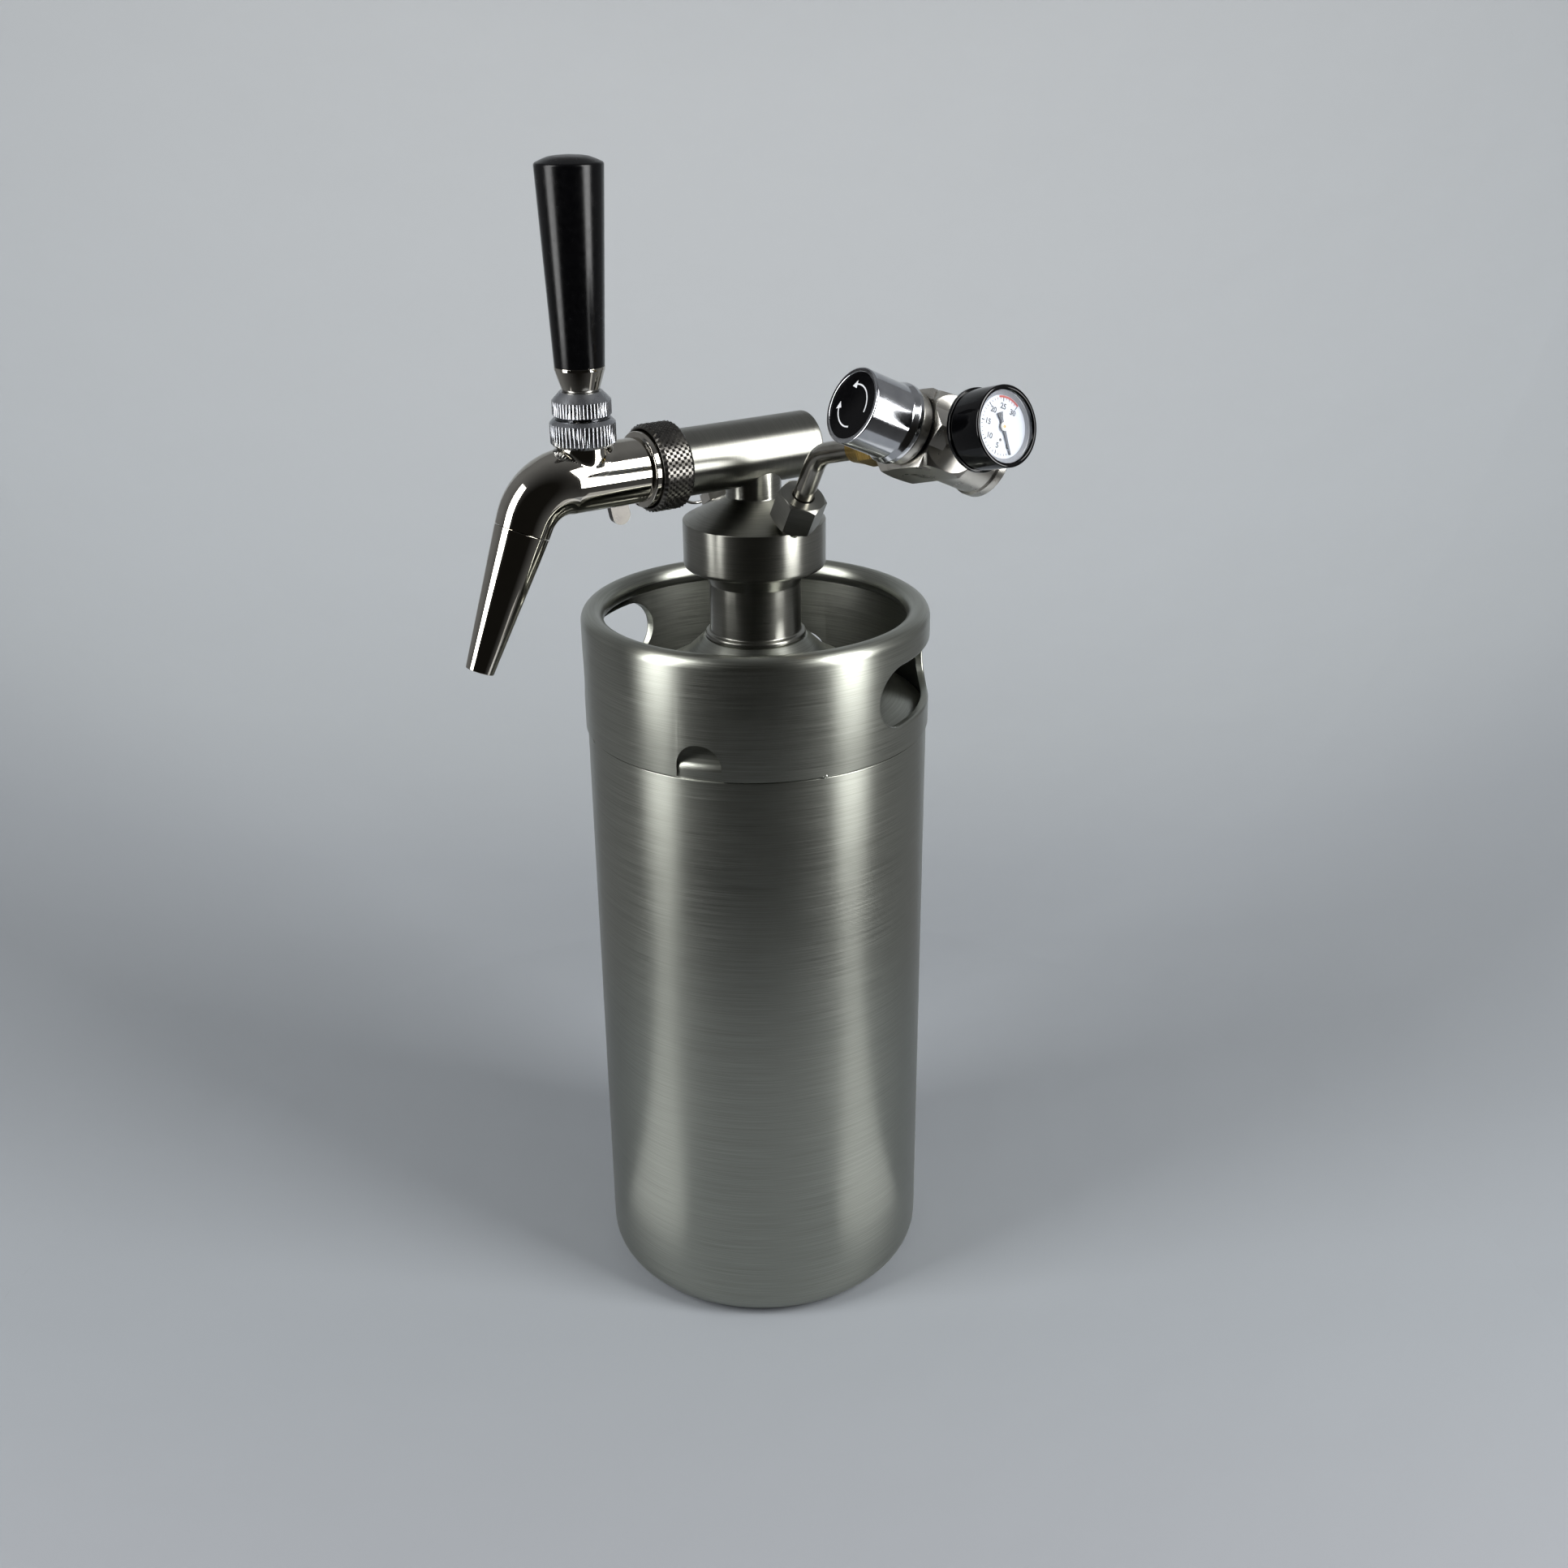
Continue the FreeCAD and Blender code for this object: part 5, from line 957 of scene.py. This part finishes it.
def handle():
    """The ferrule and the grip, which swells towards its crowned top."""
    ferrule = [
        (STUD_BORE, 32.27),
        (6.8, 32.27, 0.5),
        (FERRULE_RADIUS, 40.1, 0.6),
        (FERRULE_RADIUS, GRIP_FOOT - 0.04, 0.1),
        (STUD_BORE, GRIP_FOOT - 0.04),
    ]
    mesh = lathe("handle_ferrule", ferrule, 128, loop=True)
    piece("handle_ferrule_skin", mesh, HANDLE, POLISHED, ["handle_ferrule"])
    grip = [
        (INSERT_RADIUS, GRIP_FOOT),
        (FERRULE_RADIUS - 0.1, GRIP_FOOT, 0.3),
        (GRIP_RADIUS, 110.3, 1.1),
        (7.35, 112.5, 12.0),
        (0, GRIP_TOP),
        (0, 57.1),
        (INSERT_RADIUS, 57.1),
    ]
    mesh = lathe("handle_grip", grip, 160, loop=True)
    piece("handle_grip_skin", mesh, HANDLE, PHENOLIC, ["handle_grip"])


# Gas line

GAS_NUT_FLATS = 17.0
GAS_NUT_LOW = 4.3
GAS_NUT_HIGH = 17.4
GAS_TUBE_RADIUS = 4.0
OUTLET_FLATS = 12.7
NUT_ROUND = 0.2


def chamfered_hex(name, flats, low, high, chamfer, face, corner):
    """A hexagonal bar between two heights, its corners turned off from face to corner radius."""
    line = [
        (0, low),
        (face, low, 0),
        (corner, low + chamfer, 0),
        (corner, high - chamfer, 0),
        (face, high, 0),
        (0, high),
    ]
    turned = lathe(name + "_turned", line, 96, ease=0)
    return combined(hexagon(name, flats, low - 1, high + 1), turned, "INTERSECT")


def corner_radius(flats):
    """Just past the corners of a hexagon."""
    return flats / 2 / math.cos(math.radians(30)) + 0.1


def gas_nut():
    """The nut that holds the tube on the cap."""
    low = GAS_NUT_LOW
    high = GAS_NUT_HIGH
    face = GAS_NUT_FLATS / 2 - 0.2
    corner = corner_radius(GAS_NUT_FLATS)
    blank = chamfered_hex("gas_nut", GAS_NUT_FLATS, low, high, 1.2, face, corner)
    bore = GAS_TUBE_RADIUS + 0.5
    line = [(0, low - 1), (bore, low - 1), (bore, high + 1), (0, high + 1)]
    hole = lathe("gas_nut_bore", line, 64, ease=0)
    mesh = eased(combined(blank, hole, "DIFFERENCE"), NUT_ROUND)
    piece("gas_nut_skin", mesh, GAS, TURNED, ["gas_nut"])


def outlet_nut():
    """The brass nut at the regulator, with a short cone towards the tube."""
    line = [
        (0, 24), (6.33, 24, 0), (7.33, 25, 0), (7.33, 32, 0), (6.33, 33, 0), (5, 40, 0), (0, 40),
    ]
    turned = lathe("outlet_nut_turned", line, 96, ease=0)
    mesh = combined(hexagon("outlet_nut", OUTLET_FLATS, 24, 40), turned, "INTERSECT")
    piece("outlet_nut_skin", eased(mesh, NUT_ROUND), OUTLET, BRASS, ["outlet_nut"])


def gas_line():
    """The inlet under the nut and the bent tube to the regulator."""
    inlet = [(2.5, -3), (4, -3), (4, 2), (6.4, 2, 0.4), (6.4, 10.5), (2.5, 10.5)]
    mesh = lathe("gas_inlet", inlet, 96, loop=True)
    piece("gas_inlet_skin", mesh, GAS, TURNED, ["gas_inlet"])
    reach = TUBE_BEND_RADIUS * math.tan(math.radians(TUBE_BEND / 2))
    start = TUBE_CORNER - reach
    centres = [Vector((10.5, 0, 0)), Vector((start - 3, 0, 0))]
    steps = 20
    for step in range(steps + 1):
        angle = math.radians(TUBE_BEND) * step / steps
        centres.append(Vector((
            start + TUBE_BEND_RADIUS * math.sin(angle), 0, -TUBE_BEND_RADIUS * (1 - math.cos(angle))
        )))
    way = Vector((math.cos(math.radians(TUBE_BEND)), 0, -math.sin(math.radians(TUBE_BEND))))
    centres.append(Vector((TUBE_CORNER, 0, 0)) + way * (TUBE_RUN - 30.0))
    radii = [GAS_TUBE_RADIUS] * len(centres)
    mesh = swept("gas_tube", centres, radii, Vector((0, 1, 0)), 64)
    piece("gas_tube_skin", mesh, TUBE, SATIN, ["gas_tube"])


# Regulator

BAR_FLATS = 26.0
BAR_BACK = -15.0
BAR_FRONT = 12.0
FLANGE_FLATS = 27.5
FLANGE_LOW = 3.0
DECK_HEIGHT = 9.6
DECK_HALF = 40.0
FLAT_FACE_ANGLE = 25.0
SOCKET_END = -27.2
SOCKET_RADIUS = 12.5
SOCKET_LIP = 13.25
POCKET_RADIUS = 7.94
SCREWED_RIM_LOW = 10.4
SCREWED_RIM_HIGH = 14.2
KNOB_RADIUS = 13.0
KNOB_SKIRT = 14.0
KNOB_LOW = 15.2
KNOB_HIGH = 35.3
KNOB_WELL = 11.4
ARROW_HEIGHT = 34.9
PRINT_THICKNESS = 0.04


def regulator_body():
    """A hexagonal bar and flange with the round cartridge socket below, and the screwed bonnet."""
    corner = corner_radius(BAR_FLATS)
    bar = chamfered_hex(
        "regulator_bar", BAR_FLATS, BAR_BACK, BAR_FRONT, 1.6, BAR_FLATS / 2, corner
    )
    square = [
        (-DECK_HALF, -DECK_HALF), (DECK_HALF, -DECK_HALF), (DECK_HALF, DECK_HALF), (-DECK_HALF, DECK_HALF),
    ]
    deck = prism("regulator_deck", square, DECK_HEIGHT, 60)
    bar = combined(moved(bar, turn(90, "Y")), deck, "DIFFERENCE")
    corner = corner_radius(FLANGE_FLATS)
    flange = chamfered_hex(
        "regulator_flange", FLANGE_FLATS, FLANGE_LOW, DECK_HEIGHT, 0.8, FLANGE_FLATS / 2, corner
    )
    body = combined(bar, flange, "UNION")
    socket = [
        (0, 0),
        (7.9, -12),
        (POCKET_RADIUS, SOCKET_END + 1, 0),
        (8.9, SOCKET_END, 0.2),
        (SOCKET_LIP - 1, SOCKET_END, 0.4),
        (SOCKET_LIP, SOCKET_END + 1, 0.4),
        (SOCKET_LIP, SOCKET_END + 4, 0.4),
        (SOCKET_RADIUS, SOCKET_END + 4.6, 0.3),
        (SOCKET_RADIUS, 3.5),
        (0, 3.5),
    ]
    mesh = combined(body, lathe("regulator_socket", socket, 128), "UNION")
    mesh = smoothed(mesh, FLAT_FACE_ANGLE)
    piece("regulator_body_skin", mesh, REGULATOR, NICKEL, ["regulator_body"])
    bonnet = [
        (8.5, SCREWED_RIM_LOW),
        (12.7, SCREWED_RIM_LOW, 0.35),
        (12.7, SCREWED_RIM_HIGH, 0.35),
        (10.6, SCREWED_RIM_HIGH),
        (10.6, 29),
        (8.5, 29),
    ]
    mesh = lathe("regulator_bonnet", bonnet, 128, loop=True)
    piece("regulator_bonnet_skin", mesh, REGULATOR, NICKEL, ["regulator_bonnet"])


def knob():
    """The plated knob, flared at its foot, and the two printed arrows on its disc."""
    line = [
        (11, KNOB_LOW),
        (KNOB_SKIRT, KNOB_LOW, 0.4),
        (KNOB_SKIRT, 17.0, 0.8),
        (KNOB_RADIUS, 19.2, 2.0),
        (KNOB_RADIUS, KNOB_HIGH, 0.5),
        (KNOB_WELL, KNOB_HIGH, 0.25),
        (KNOB_WELL, KNOB_HIGH - 1),
        (3, KNOB_HIGH - 1),
        (3, 30.5),
        (11, 30.5),
    ]
    mesh = lathe("regulator_knob", line, 192, loop=True)
    piece("regulator_knob_skin", mesh, REGULATOR, CHROMED, ["regulator_knob"])
    low = ARROW_HEIGHT
    high = ARROW_HEIGHT + PRINT_THICKNESS
    for number, (head, tail) in enumerate(((5.0, 115.0), (-90.0, -178.0))):
        start = min(head, tail)
        end = max(head, tail)
        arc = ring_sector("knob_arrow", 7.0, 7.5, start, end, low, high)
        way = 1 if head > tail else -1
        tip = dial_point(7.1, head + way * 19.0)
        inner = dial_point(5.9, head)
        outer = dial_point(8.6, head)
        work = bmesh.new()
        work.from_mesh(arc)
        work.from_mesh(prism("knob_arrow_head", [inner, outer, tip], low, high))
        work.to_mesh(arc)
        work.free()
        piece(f"knob_arrow_{number}", arc, REGULATOR, INK_WHITE, body="knob")


# Gauge

CASE_RADIUS = 13.45
CASE_BACK = 25.5
CASE_FRONT = 38.3
DIAL_FRONT = 35.8
DIAL_EDGE = 12.25
INK_THICKNESS = 0.03
SCALE_EDGE = 9.5
ZERO_MARK = -213.0
MARK_STEP = 40.5


def dial_point(radius, clockwise):
    """A point of the dial at an angle clockwise from its top."""
    angle = math.radians(90 - clockwise)
    return (radius * math.cos(angle), radius * math.sin(angle))


def ring_sector(name, inner, outer, start, end, low, high):
    """A curved bar printed between two angles clockwise from the top."""
    steps = max(2, math.ceil(abs(end - start) / 4))
    outline = []
    for step in range(steps + 1):
        outline.append(dial_point(outer, start + (end - start) * step / steps))
    for step in range(steps + 1):
        outline.append(dial_point(inner, end + (start - end) * step / steps))
    return prism(name, outline, low, high)


def tick(clockwise, inner, outer, width):
    """A short printed line that points at the dial's centre."""
    half = math.degrees(width / 2 / outer)
    start = clockwise - half
    end = clockwise + half
    return ring_sector("dial_tick", inner, outer, start, end, DIAL_FRONT, DIAL_FRONT + INK_THICKNESS)


def numeral(value, clockwise, radius, height):
    """A printed number that stands upright on the dial."""
    curve = bpy.data.curves.new("dial_numeral", "FONT")
    curve.body = str(value)
    curve.size = height
    curve.align_x = "CENTER"
    curve.align_y = "CENTER"
    curve.extrude = 0.015
    curve.offset = 0.08
    text = bpy.data.objects.new("dial_numeral", curve)
    bpy.context.scene.collection.objects.link(text)
    bpy.context.view_layer.update()
    mesh = bpy.data.meshes.new_from_object(text.evaluated_get(bpy.context.evaluated_depsgraph_get()))
    bpy.data.objects.remove(text)
    x, y = dial_point(radius, clockwise)
    place = Matrix.Translation((x, y, DIAL_FRONT + 0.02))
    mesh.transform(Matrix.Diagonal((MM, MM, MM, 1)) @ place)
    return mesh


def gauge_shell():
    """The gauge's case, its back and the pale ring round the dial."""
    case = [
        (12.3, CASE_BACK),
        (CASE_RADIUS, CASE_BACK, 0.1),
        (CASE_RADIUS, CASE_FRONT, 0.75),
        (12.2, CASE_FRONT, 0.35),
        (11.8, CASE_FRONT - 0.8),
        (12.3, CASE_FRONT - 0.8),
    ]
    mesh = lathe("gauge_case", case, 192, loop=True)
    piece("gauge_case_skin", mesh, GAUGE, ENAMEL, ["gauge_case"])
    back = [
        (5.5, CASE_BACK - 2),
        (13.0, CASE_BACK - 2, 0.3),
        (14, CASE_BACK - 1.4, 0.4),
        (14, CASE_BACK, 0.3),
        (5.5, CASE_BACK),
    ]
    mesh = lathe("gauge_back", back, 192, loop=True)
    piece("gauge_back_skin", mesh, GAUGE, ENAMEL, ["gauge_back"])
    bezel = [
        (DIAL_EDGE, 36.95), (DIAL_EDGE, 35.85), (10.3, 35.85), (10.3, 36.0), (11.9, 36.95),
    ]
    mesh = lathe("gauge_inner_ring", bezel, 192, ease=0.1, loop=True)
    piece("gauge_inner_ring", mesh, GAUGE, RING_GREY, body="tap_head")


def gauge_print():
    """The dial's scale, numbers and red band."""
    ink = bmesh.new()
    for mark in range(7):
        angle = ZERO_MARK + MARK_STEP * mark
        ink.from_mesh(tick(angle, 8.2, SCALE_EDGE, 0.4))
        ink.from_mesh(numeral(5 * mark, angle, 6.6, 2.6))
        for minor in range(1, 5):
            if mark < 6:
                ink.from_mesh(tick(angle + MARK_STEP * minor / 5, 8.8, SCALE_EDGE, 0.22))
    mesh = bpy.data.meshes.new("dial_scale")
    ink.to_mesh(mesh)
    ink.free()
    piece("dial_scale", mesh, GAUGE, INK_BLACK, body="tap_head")
    band = ring_sector("dial_red_band", 9.45, 10.15, -22, 31, DIAL_FRONT, DIAL_FRONT + INK_THICKNESS)
    piece("dial_red_band", band, GAUGE, INK_RED, body="tap_head")


def needle_hub():
    """The pointer's white hub and the end of its brass pin."""
    hub = [(0, 36.46), (1.45, 36.46), (1.45, 36.8, 0.15), (0.45, 36.85), (0, 36.85)]
    mesh = lathe("needle_hub", hub, 48)
    piece("needle_hub_cap", mesh, GAUGE, ACETAL, body="needle")
    pin = [(0, 36.8), (0.5, 36.8), (0.5, 36.94, 0.1), (0, 36.94)]
    mesh = lathe("needle_pin", pin, 32)
    piece("needle_pin_end", mesh, GAUGE, BRASS, body="needle")


# Camera and light

CAMERA_SPOT = Vector((571.28, -374.89, 523.39)) * MM
CAMERA_RIGHT = Vector((0.56490, 0.82512, -0.00825))
CAMERA_UP = Vector((-0.32541, 0.23195, 0.91668))
CAMERA_AHEAD = Vector((-0.75829, 0.51515, -0.39953))
SENSOR = 36.0
LENS_LENGTH = 40.41


def camera():
    """The photograph's viewpoint, fitted to the edges of the keg."""
    data = bpy.data.cameras.new("camera")
    data.sensor_width = SENSOR
    data.lens = LENS_LENGTH
    data.clip_start = 0.01
    data.clip_end = 20.0
    made = bpy.data.objects.new("camera", data)
    bpy.context.scene.collection.objects.link(made)
    place = Matrix((CAMERA_RIGHT, CAMERA_UP, -CAMERA_AHEAD)).transposed().to_4x4()
    place.translation = CAMERA_SPOT
    made.matrix_world = place
    bpy.context.scene.camera = made


BEHIND = 146.7
BACK_FLOOR = 0.30
FRONT_FLOOR = 0.38
SWEEP_WIDTH = 0.95
SWEEP_HEIGHT = 1.25
SWEEP_ROWS = 40


def sweep_point(row, azimuth):
    """A point of the sweep: level floor, which curves up into a wall further out in front."""
    off = abs((azimuth - BEHIND + 180) % 360 - 180)
    share = min(max((off - 60) / 70, 0), 1)
    floor = BACK_FLOOR + (FRONT_FLOOR - BACK_FLOOR) * share * share * (3 - 2 * share)
    if row <= 0:
        radius, height = floor * (row + 1), 0.0
    else:
        rise = math.pi / 2 * row / SWEEP_ROWS
        radius = floor + SWEEP_WIDTH * math.sin(rise)
        height = SWEEP_HEIGHT * (1 - math.cos(rise))
    angle = math.radians(azimuth)
    return (radius * math.cos(angle), radius * math.sin(angle), height)


def sweep_piece(name, start, end, low_row, high_row, mirrored):
    """Part of the sweep between two azimuths; mirrored tells if polished metal shows it."""
    columns = round((end - start) / 2.5)
    work = bmesh.new()
    rings = []
    for column in range(columns + 1):
        azimuth = start + (end - start) * column / columns
        rings.append([work.verts.new(sweep_point(row, azimuth)) for row in range(low_row, high_row + 1)])
    for low_ring, high_ring in zip(rings, rings[1:]):
        for row in range(high_row - low_row):
            work.faces.new((low_ring[row], high_ring[row], high_ring[row + 1], low_ring[row + 1]))
    bmesh.ops.remove_doubles(work, verts=work.verts, dist=1e-6)
    bmesh.ops.recalc_face_normals(work, faces=work.faces)
    mesh = bpy.data.meshes.new(name)
    work.to_mesh(mesh)
    work.free()
    for face in mesh.polygons:
        face.use_smooth = True
    made = bpy.data.objects.new(name, mesh)
    bpy.context.scene.collection.objects.link(made)
    mesh.materials.append(PAPER)
    made.visible_glossy = mirrored


def shaded_paper():
    """Matt seamless paper whose colour carries painted shade: a ramp by distance behind the keg paints it
    darker towards its fold and lighter again up the wall above it.
    """
    material, tree, shader = begin("grey_paper_with_painted_shade", {"Roughness": 0.9})
    spot = add(tree, "ShaderNodeTexCoord")
    angle = math.radians(BEHIND)
    away = add(
        tree, "ShaderNodeVectorMath",
        {0: spot.outputs["Object"], 1: (math.cos(angle), math.sin(angle), 0.0)},
        operation="DOT_PRODUCT",
    )
    depth = add(
        tree, "ShaderNodeMapRange",
        {"Value": away.outputs["Value"], "From Min": -0.3, "From Max": 1.2},
    )
    ramp = add(tree, "ShaderNodeValToRGB", {"Fac": depth.outputs["Result"]})
    # Painted shade and painted light: the floor darkens towards the fold and the wall is painted paler
    # higher up.
    painted_shade_stops = (
        (-0.30, "#8A8C90"), (-0.08, "#868A8E"), (0.27, "#898D91"), (0.36, "#8F9397"), (0.50, "#9FA3A6"),
        (0.66, "#ABAFB2"), (1.04, "#BFC2C4"),
    )
    ramp.color_ramp.elements.remove(ramp.color_ramp.elements[1])
    for index, (reach, colour) in enumerate(painted_shade_stops):
        place = (reach + 0.3) / 1.5
        stop = ramp.color_ramp.elements[0] if index == 0 else ramp.color_ramp.elements.new(place)
        stop.position = place
        stop.color = linear(colour)
    tree.links.new(ramp.outputs["Color"], shader.inputs["Base Color"])
    creases = cloud(tree, 90.0)
    raised = add(
        tree, "ShaderNodeBump",
        {"Height": creases.outputs[0], "Strength": 1.0, "Distance": 2.0 * MM},
    )
    tree.links.new(raised.outputs[0], shader.inputs["Normal"])
    return material


PAPER = shaded_paper()


LEFT_AZIMUTH = -97.5
RIGHT_AZIMUTH = 28.0
LEFT_POWER = 20.0
RIGHT_POWER = 27.0
SOFTBOX_SIZE = (0.44, 1.25)
SOFTBOX_HEIGHT = 0.62
SOFTBOX_REACH = 1.0
STRIP_SIZE = (0.42, 0.085)
STRIP_REACH = 0.31
STRIP_LIFT = 0.004
STRIP_POWER = 0.07
KEG_MIDDLE = Vector((0, 0, 0.25))


def softbox(name, azimuth, height, distance, size, power):
    """A rectangular light that looks at the middle of the keg."""
    data = bpy.data.lights.new(name, "AREA")
    data.shape = "RECTANGLE"
    data.size = size[0]
    data.size_y = size[1]
    data.energy = power
    made = bpy.data.objects.new(name, data)
    bpy.context.scene.collection.objects.link(made)
    angle = math.radians(azimuth)
    made.location = (distance * math.cos(angle), distance * math.sin(angle), height)
    aim = KEG_MIDDLE - made.location
    made.rotation_euler = aim.to_track_quat("-Z", "Y").to_euler()
    made.visible_camera = False
    return made


def floor_strip(name, azimuth):
    """Light that lies on the floor and carries a softbox's tall highlight down to the keg's foot."""
    data = bpy.data.lights.new(name, "AREA")
    data.shape = "RECTANGLE"
    data.size = STRIP_SIZE[0]
    data.size_y = STRIP_SIZE[1]
    data.energy = STRIP_POWER
    made = bpy.data.objects.new(name, data)
    bpy.context.scene.collection.objects.link(made)
    angle = math.radians(azimuth)
    made.location = (STRIP_REACH * math.cos(angle), STRIP_REACH * math.sin(angle), STRIP_LIFT)
    made.rotation_euler = (math.pi, 0, angle)
    made.visible_camera = False
    made.visible_diffuse = False


def room():
    """The room round the sweep: dark behind the camera, mid grey to the sides."""
    world = bpy.data.worlds.new("room")
    world.use_nodes = True
    tree = world.node_tree
    spot = add(tree, "ShaderNodeTexCoord")
    angle = math.radians(BEHIND)
    away = add(
        tree, "ShaderNodeVectorMath",
        {0: spot.outputs["Generated"], 1: (math.cos(angle), math.sin(angle), 0.0)},
        operation="DOT_PRODUCT",
    )
    share = add(
        tree, "ShaderNodeMapRange",
        {"Value": away.outputs["Value"], "From Min": -0.75, "From Max": 0.3},
    )
    made = add(tree, "ShaderNodeMix", data_type="RGBA")
    tree.links.new(share.outputs["Result"], made.inputs["Factor"])
    made.inputs[6].default_value = linear("#1C1B19")
    made.inputs[7].default_value = linear("#868789")
    tree.links.new(made.outputs[2], tree.nodes["Background"].inputs["Color"])
    bpy.context.scene.world = world


def studio():
    """The paper sweep, the lights that give the keg its two tall highlights, and the camera."""
    camera()
    sweep_piece("sweep_floor", 0, 360, -1, 0, True)
    sweep_piece("sweep_back", BEHIND - 42, BEHIND + 42, 0, SWEEP_ROWS, True)
    sweep_piece("sweep_front", BEHIND + 42, BEHIND + 318, 0, SWEEP_ROWS, False)
    softbox("softbox_left", LEFT_AZIMUTH, SOFTBOX_HEIGHT, SOFTBOX_REACH, SOFTBOX_SIZE, LEFT_POWER)
    softbox("softbox_right", RIGHT_AZIMUTH, SOFTBOX_HEIGHT, SOFTBOX_REACH, SOFTBOX_SIZE, RIGHT_POWER)
    floor_strip("floor_glow_left", LEFT_AZIMUTH)
    floor_strip("floor_glow_right", RIGHT_AZIMUTH)
    overhead = softbox("overhead_bank", -33.0, 1.6, 0.25, (1.3, 1.3), 1.0)
    overhead.visible_glossy = False
    room()
    bpy.context.scene.view_settings.view_transform = "Standard"


def carried_over():
    """The frame's own nodes get the finish of their slot."""
    for name, node in frame["nodes"].items():
        node.data.materials.clear()
        node.data.materials.append(FINISH_OF[SLOT_OF[name]])


carried_over()
keg_shell()
keg_collar()
keg_neck()
cap_body()
shank()
coupling_nut()
faucet_body()
faucet_spout()
hand_nuts()
handle()
gas_nut()
gas_line()
outlet_nut()
regulator_body()
knob()
gauge_shell()
gauge_print()
needle_hub()
frame["nodes"]["gauge_needle"].data.materials[0] = POINTER
frame["nodes"]["flow_lever"].data.materials[0] = KNURLED
studio()
